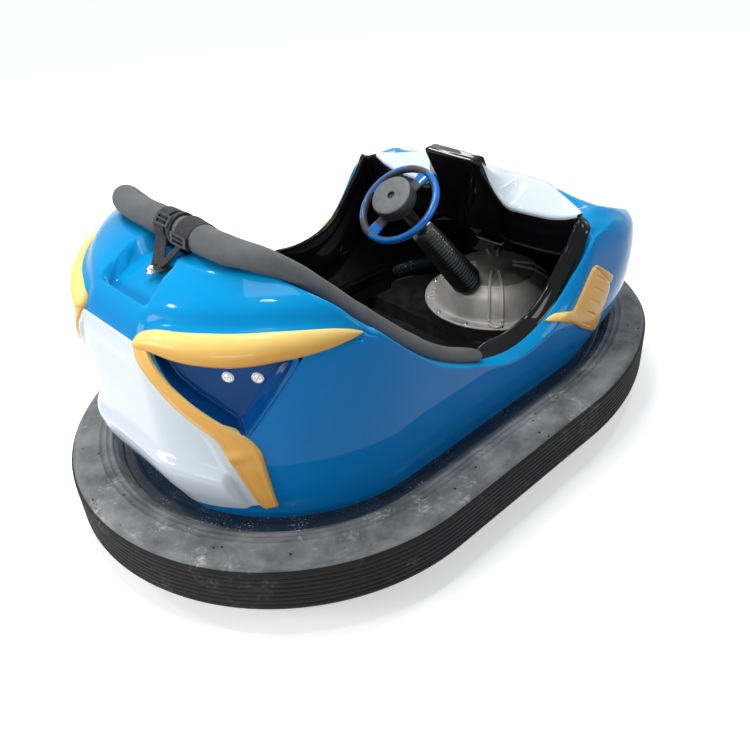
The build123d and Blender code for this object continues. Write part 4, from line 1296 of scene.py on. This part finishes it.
buckle("buckle_left", (-.6405, -.004, .8865), (.7, 0, .72), (0, 1, 0), .026, .046, slot="hub_plastic")
buckle("buckle_right", (-.6525, -.075, .862), (.25, .1, .96), (0, 1, 0), .024, .050, slot="hub_plastic")
block("anchor_plate", (-.684, -.036, .7965), (.036, .034, .007), ((1, 0, 0), (0, 1, 0), (0, 0, 1)),
      black_steel, slot="black_steel")
bolt_outline = [(0.0, .0135), (.0045, .0132), (.0085, .0105), (.0100, .0065), (.0100, .0035),
                (.0135, .0028), (.0135, .0005), (.0125, -.004)]
revolve("anchor_bolt", bolt_outline, (-.700, -.022, .7925), (-.25, 0, 1), steel, 28,
        replaces=["belt_anchor"], slot="bright_steel")
for number, (x, y) in enumerate(((-.632, -.060), (-.632, .060))):
    place, normal = project((x, y, .80))
    revolve("belt_rivet_%d" % number, [(0.0, .0030), (.0030, .0026), (.0048, .0010), (.0050, -.0015)],
            place - (0, 0, deck_dip(place)), normal, steel, 20, replaces=["belt_anchor"],
            slot="bright_steel")

# ---------------------------------------------------------------- steering

# the column rises toward the driver at this angle from level
steer_rise = math.radians(51)
steer_axis = np.array((-math.cos(steer_rise), 0, math.sin(steer_rise)))
steer_up = np.array((-math.sin(steer_rise), 0, -math.cos(steer_rise)))
steer_centre = np.array((.082, 0, .677))
steer_side = np.array((0, 1.0, 0))


def wheel_point(radius, degrees, rise):
    """Point round the steering wheel's axis."""
    a = math.radians(degrees)
    return steer_centre + (steer_side * math.cos(a) + steer_up * math.sin(a)) * radius + steer_axis * rise


rim_radius, rim_tube = .115, .0105
rim_count, rim_round = 144, 24
rim_points = []
for k in range(rim_count):
    for j in range(rim_round):
        b = 2 * math.pi * j / rim_round
        rim_points.append(wheel_point(rim_radius + rim_tube * math.cos(b), 360 * k / rim_count,
                                      rim_tube * math.sin(b)))
rim_faces = grid_faces(rim_count, rim_round, closed_rows=True, closed_columns=True)
rim_piece = make_mesh("wheel_rim", rim_points, rim_faces, [dark_plastic, blue_inlay],
                      body="steering_wheel", replaces=["steering_rim"], slot="hub_plastic")


def inlay(index):
    """The blue inlay runs round the rim's outer face, with three gaps."""
    around_rim, around_tube = divmod(index, rim_round)
    degrees = 360 * (around_rim + 0.5) / rim_count
    face = 360 * (around_tube + 0.5) / rim_round
    return (75 < degrees < 252 or degrees < 43 or degrees > 289) and (face <= 100 or face > 330)


paint(rim_piece, inlay)

pad = [(0.0, .0400), (.0098, .0400), (.0106, .0410), (.0108, .0480), (.0120, .0494), (.0150, .0497),
       (.040, .0498), (.0540, .0494), (.0572, .0486), (.0592, .0468), (.0604, .0440), (.0618, .0300),
       (.0612, .0160), (.0590, .0070), (.0560, .0045), (.050, .0040), (.030, .0040), (.030, -.020)]
hub = revolve("wheel_pad", pad, steer_centre, steer_axis, [dark_plastic, grey_plastic], 72,
              body="steering_wheel", replaces=["steering_hub"], slot="hub_plastic")
paint(hub, lambda index: 3 <= index % (len(pad) - 1) <= 8)

for number, turn in enumerate((-15, 75, 255)):
    points = []
    for r in np.linspace(.040, .114, 12):
        t = (r - .040) / .074
        half = .017 + .006 * t**2
        low = .004 - .002 * t
        for w, h in ((-1, 0), (-1, 1), (-.8, 1.25), (.8, 1.25), (1, 1), (1, 0)):
            a = math.radians(turn)
            base = steer_side * math.cos(a) + steer_up * math.sin(a)
            cross = -steer_side * math.sin(a) + steer_up * math.cos(a)
            points.append(steer_centre + base * r + cross * half * w + steer_axis * (low - .004 + .006 * h))
    faces = grid_faces(12, 6, closed_columns=True) + [tuple(range(6)), tuple(range(66, 72))[::-1]]
    spoke = make_mesh("wheel_spoke_%d" % number, points, faces, [dark_plastic, blue_inlay],
                      body="steering_wheel", replaces=["steering_spokes"], slot="blue_inlay")
    paint(spoke, lambda index: index // 6 >= 6)

# the bellows has 21 folds that get smaller toward the wheel
boot_outline = [(.0192, -.470)]
for k in range(21):
    h = -.462 + k * .0150
    base = .050 - .012 * k / 20
    boot_outline += [(base - .012, h), (base - .003, h + .0035), (base, h + .0068),
                     (base - .003, h + .0100), (base - .012, h + .0140)]
boot_outline += [(.024, -.146), (.0192, -.144)]
revolve("column_boot", boot_outline, steer_centre, steer_axis, bellows_rubber, 64,
        replaces=["column_bellows"], slot="bellows_rubber")

# ---------------------------------------------------------------- drive dome

drive = np.array((.518, 0, 0))
base_outline = [(0.0, .3228), (.030, .3225), (.060, .3200), (.078, .3170), (.092, .3145), (.110, .3115),
                (.1285, .3070), (.1335, .3050), (.1350, .3030), (.1380, .3025), (.1420, .3000),
                (.150, .2945), (.160, .2885), (.170, .2790), (.177, .2680), (.189, .2440), (.196, .224),
                (.2005, .211), (.206, .2065), (.222, .206), (.2345, .2055), (.235, .2005), (.199, .2005),
                (.167, .279), (.090, .300), (.032, .306)]
dome = revolve("dome_casting", base_outline, drive, (0, 0, 1), [alloy, dark_alloy], 180,
               replaces=["drive_dome"], slot="cast_alloy")
paint(dome, lambda index: index % (len(base_outline) - 1) < 7)


def dome_point(radius, degrees, lift):
    """A point lifted off the dome's outer face."""
    outer = np.array(base_outline[:21])
    height = float(np.interp(radius, outer[:, 0], outer[:, 1]))
    ahead, behind = (np.interp(radius + step, outer[:, 0], outer[:, 1]) for step in (.002, -.002))
    slope = (ahead - behind) / .004
    out = np.array((-slope, 1.0)) / math.hypot(slope, 1.0)
    a = math.radians(degrees)
    r = radius + out[0] * lift
    return drive + (r * math.cos(a), r * math.sin(a), height + out[1] * lift)


boss_outline = [(0.0, .0055), (.0225, .0055), (.0245, .0040), (.0250, .0010), (.0250, -.004)]
screw_outline = [(0.0, .0022), (.0026, .0020), (.0036, .0006), (.0037, -.001)]
head_outline = [(0.0, .0052), (.0050, .0052), (.0062, .0040), (.0062, .0005), (.0085, .0005),
                (.0085, -.001)]

# twin half-round ribs run down the casting to a round boss with three screws
for number, degrees in enumerate((-139, -49, 41, 131)):
    for hand in (-1, 1):
        line = [dome_point(r, degrees + hand * (11.0 - (r - .05) / .148 * 4.8), .0005)
                for r in np.linspace(.060, .199, 44)]
        sweep("dome_rib_%d_%s" % (number, "a" if hand < 0 else "b"), line, circle(.0052, 12), alloy,
              slot="cast_alloy")
    a = math.radians(degrees)
    foot = drive + (.2085 * math.cos(a), .2085 * math.sin(a), .2080)
    revolve("dome_boss_%d" % number, boss_outline, foot, (0, 0, 1), alloy, 40, slot="cast_alloy")
    for turn in (-0.9, 0.0, 0.9):
        spot = foot + (.0150 * math.cos(a + turn * 1.6), .0150 * math.sin(a + turn * 1.6), .0050)
        revolve("dome_screw_%d_%d" % (number, round(turn * 10) + 9), screw_outline, spot, (0, 0, 1),
                steel, 12, slot="bright_steel")
for k in range(12):
    a = math.radians(15 + 30 * k)
    place = drive + (.2215 * math.cos(a), .2215 * math.sin(a), .2062)
    revolve("dome_bolt_%d" % k, head_outline, place, (0, 0, 1), steel, 12, slot="bright_steel")

# ---------------------------------------------------------------- gill

gill_top = [(.155, -.459, .445), (.171, -.463, .453), (.187, -.473, .459), (.218, -.482, .451),
            (.250, -.482, .440), (.264, -.482, .452), (.275, -.483, .468), (.306, -.482, .507),
            (.331, -.480, .537), (.349, -.480, .539)]
gill_low = [(.155, -.459, .445), (.166, -.474, .443), (.194, -.482, .431), (.254, -.479, .400),
            (.316, -.473, .351), (.385, -.466, .308), (.407, -.462, .301), (.411, -.475, .363),
            (.421, -.482, .430), (.430, -.484, .478)]
gill_rows = 170
gill_a, gill_b = (even_line(np.array(edge), gill_rows, 12) for edge in (gill_top, gill_low))


def gill_height(r, c):
    """A soft slab with short ticks pressed across its middle and a raised bar at its upper end."""
    k = r * (gill_rows - 1)
    low = int(min(gill_rows - 2, k))
    start = gill_a[low] + (gill_a[low + 1] - gill_a[low]) * (k - low)
    end = gill_b[low] + (gill_b[low + 1] - gill_b[low]) * (k - low)
    p = start + (end - start) * c
    along = (p[0] - .35) * .32 + (p[2] - .36) * .95
    across = (p[0] - .35) * .95 - (p[2] - .36) * .32
    tick = 0.0
    for place in (-.005, .030, .064, .098, .130):
        slope = place - .30 * (across + .02)
        on = clamp((across + .056) / .004) * clamp((.002 - across) / .004)
        tick = max(tick, on * bump_at(along, slope, .0016))
    bar = 0.0025 * clamp((r - 0.955) / 0.02) - 0.004 * bump_at(r, 0.935, 0.010)
    size = min(1.0, 0.35 + r * 1.6)
    return 0.0015 + 0.009 * size * max(0.0, math.sin(math.pi * c)) ** 0.3 - 0.0045 * tick + bar


for side, hand in sides:
    flip = np.array((1, hand, 1))
    ribbon("gill_skin_" + side, gill_a * flip, gill_b * flip, gill_rows, 46, gill_height, yellow,
           replaces=["gill_" + side], slot="yellow_trim")

# ---------------------------------------------------------------- pedal

plate = [(.600, .343), (.601, .3475), (.662, .3550), (.669, .3570), (.669, .3520), (.604, .3420)]
points = [(x, y, z) for y in np.linspace(.037, .153, 15) for x, z in plate]
faces = grid_faces(15, len(plate), closed_columns=True) + [tuple(range(6))[::-1], tuple(range(84, 90))]
bevel(make_mesh("pedal_plate", points, faces, black_steel, smooth=False, replaces=["pedal"],
                slot="pedal_steel"), .001, 2)
rod = [(.612, .0375, .350), (.604, .0375, .347), (.6015, .042, .3455)]
rod += [(.601, y, .3450) for y in np.linspace(.050, .145, 12)]
sweep("pedal_rod", smooth_line(rod, 60), circle(.0034, 14), alloy, replaces=["pedal"], slot="pedal_steel")

# ---------------------------------------------------------------- stage


def area_light(name, place, target, size, size_y, power, colour=(1, 1, 1)):
    """A rectangular lamp that shines from one place at another."""
    data = bpy.data.lights.new(name, "AREA")
    data.shape = "RECTANGLE"
    data.size, data.size_y, data.energy, data.color = size, size_y, power, colour
    lamp = bpy.data.objects.new(name, data)
    bpy.context.scene.collection.objects.link(lamp)
    lamp.location = place
    lamp.rotation_mode = "QUATERNION"
    lamp.rotation_quaternion = (Vector(target) - Vector(place)).to_track_quat("-Z", "Y")
    return lamp


area_light("overhead", (-0.3, 0.2, 2.9), (-0.1, 0, 0.4), 1.6, 1.0, 34)
area_light("tail_side", (-3.2, 0.7, 1.4), (-0.6, 0, 0.45), 1.4, 0.9, 46, (1.0, 0.99, 0.97))
area_light("low_tail", (-2.6, -1.2, 0.35), (-0.7, 0, 0.35), 1.0, 0.3, 10, (1.0, 0.99, 0.97))
area_light("side", (0.7, -3.0, 1.9), (0, 0, 0.4), 1.2, 0.8, 24)
area_light("back", (2.2, 1.6, 2.3), (0.2, 0, 0.4), 1.2, 0.7, 24)
# bright hall lamps, for the crisp highlights
hall_size, hall_power = (0.26, 0.13), 8.0
hall = ((-1.1, -0.5, 2.7), (-0.5, 1.2, 2.6), (0.9, -0.7, 2.8), (1.1, 1.4, 2.7), (-1.9, 0.9, 2.2))
for number, place in enumerate(hall):
    area_light("hall_lamp_%d" % number, place, (0, 0, 0.4), *hall_size, hall_power)

world = bpy.data.worlds.new("soft room")
bpy.context.scene.world = world
world.use_nodes = True
world.node_tree.nodes["Background"].inputs["Color"].default_value = (0.92, 0.96, 1.0, 1)
# pale where it is seen or mirrored, dim where it only lights the car
sky = world.node_tree
rays = sky.nodes.new("ShaderNodeLightPath").outputs
seen_sky = rays["Is Camera Ray"]
for ray in ("Is Glossy Ray", "Is Transmission Ray"):
    larger = sky.nodes.new("ShaderNodeMath")
    larger.operation = "MAXIMUM"
    sky.links.new(seen_sky, larger.inputs[0])
    sky.links.new(rays[ray], larger.inputs[1])
    seen_sky = larger.outputs[0]
glow_sky = sky.nodes.new("ShaderNodeMath")
glow_sky.operation = "MULTIPLY_ADD"
glow_sky.inputs[1].default_value = 0.40
glow_sky.inputs[2].default_value = 0.22
sky.links.new(seen_sky, glow_sky.inputs[0])
sky.links.new(glow_sky.outputs[0], sky.nodes["Background"].inputs["Strength"])

# the floor glows a little more with distance, where the lamps no longer reach it
floor_material = Nodes("pale floor")
far = floor_material.add("ShaderNodeVectorMath")
far.operation = "LENGTH"
floor_material.link(floor_material.coords, far.inputs[0])
glow = floor_material.ramp(floor_material.math("DIVIDE", far.outputs["Value"], 8.0),
                           [(0.0, 0.30), (0.25, 0.42), (0.6, 0.60), (1.0, 0.62)])
path = floor_material.add("ShaderNodeLightPath").outputs
seen = floor_material.math("MAXIMUM", path["Is Camera Ray"], path["Is Glossy Ray"])
seen = floor_material.math("MAXIMUM", seen, path["Is Transmission Ray"])
pale = floor_material.mix(floor_material.noise(2.0, 2.0), (0.90, 0.90, 0.90), (0.92, 0.92, 0.92))
floor_material.set(Base_Color=floor_material.mix(seen, (0.25, 0.26, 0.27), pale), Roughness=0.9,
                   Specular_IOR_Level=0.1, Emission_Color=glow,
                   Emission_Strength=floor_material.math("MULTIPLY", seen, 1.25))
floor = make_mesh("floor", [(-20, -20, 0), (20, -20, 0), (20, 20, 0), (-20, 20, 0)], [(0, 1, 2, 3)],
                  floor_material.material, body=None)
floor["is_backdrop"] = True

# ---------------------------------------------------------------- camera

yaw, pitch, roll = math.radians(48.1), math.radians(34.7), math.radians(-4.0)
forward = Vector((math.cos(yaw) * math.cos(pitch), math.sin(yaw) * math.cos(pitch), -math.sin(pitch)))
level = forward.cross(Vector((0, 0, 1))).normalized()
upward = level.cross(forward)
right = level * math.cos(roll) + upward * math.sin(roll)
above = -level * math.sin(roll) + upward * math.cos(roll)
camera_data = bpy.data.cameras.new("camera")
camera_data.sensor_width, camera_data.lens = 36.0, 38.976
camera = bpy.data.objects.new("camera", camera_data)
bpy.context.scene.collection.objects.link(camera)
camera.matrix_world = Matrix.Translation((-1.42 + shift, -1.524, 1.583)) @ Matrix(
    (right, above, -forward)).transposed().to_4x4()
bpy.context.scene.camera = camera
bpy.context.scene.view_settings.view_transform = "Standard"

low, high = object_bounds()
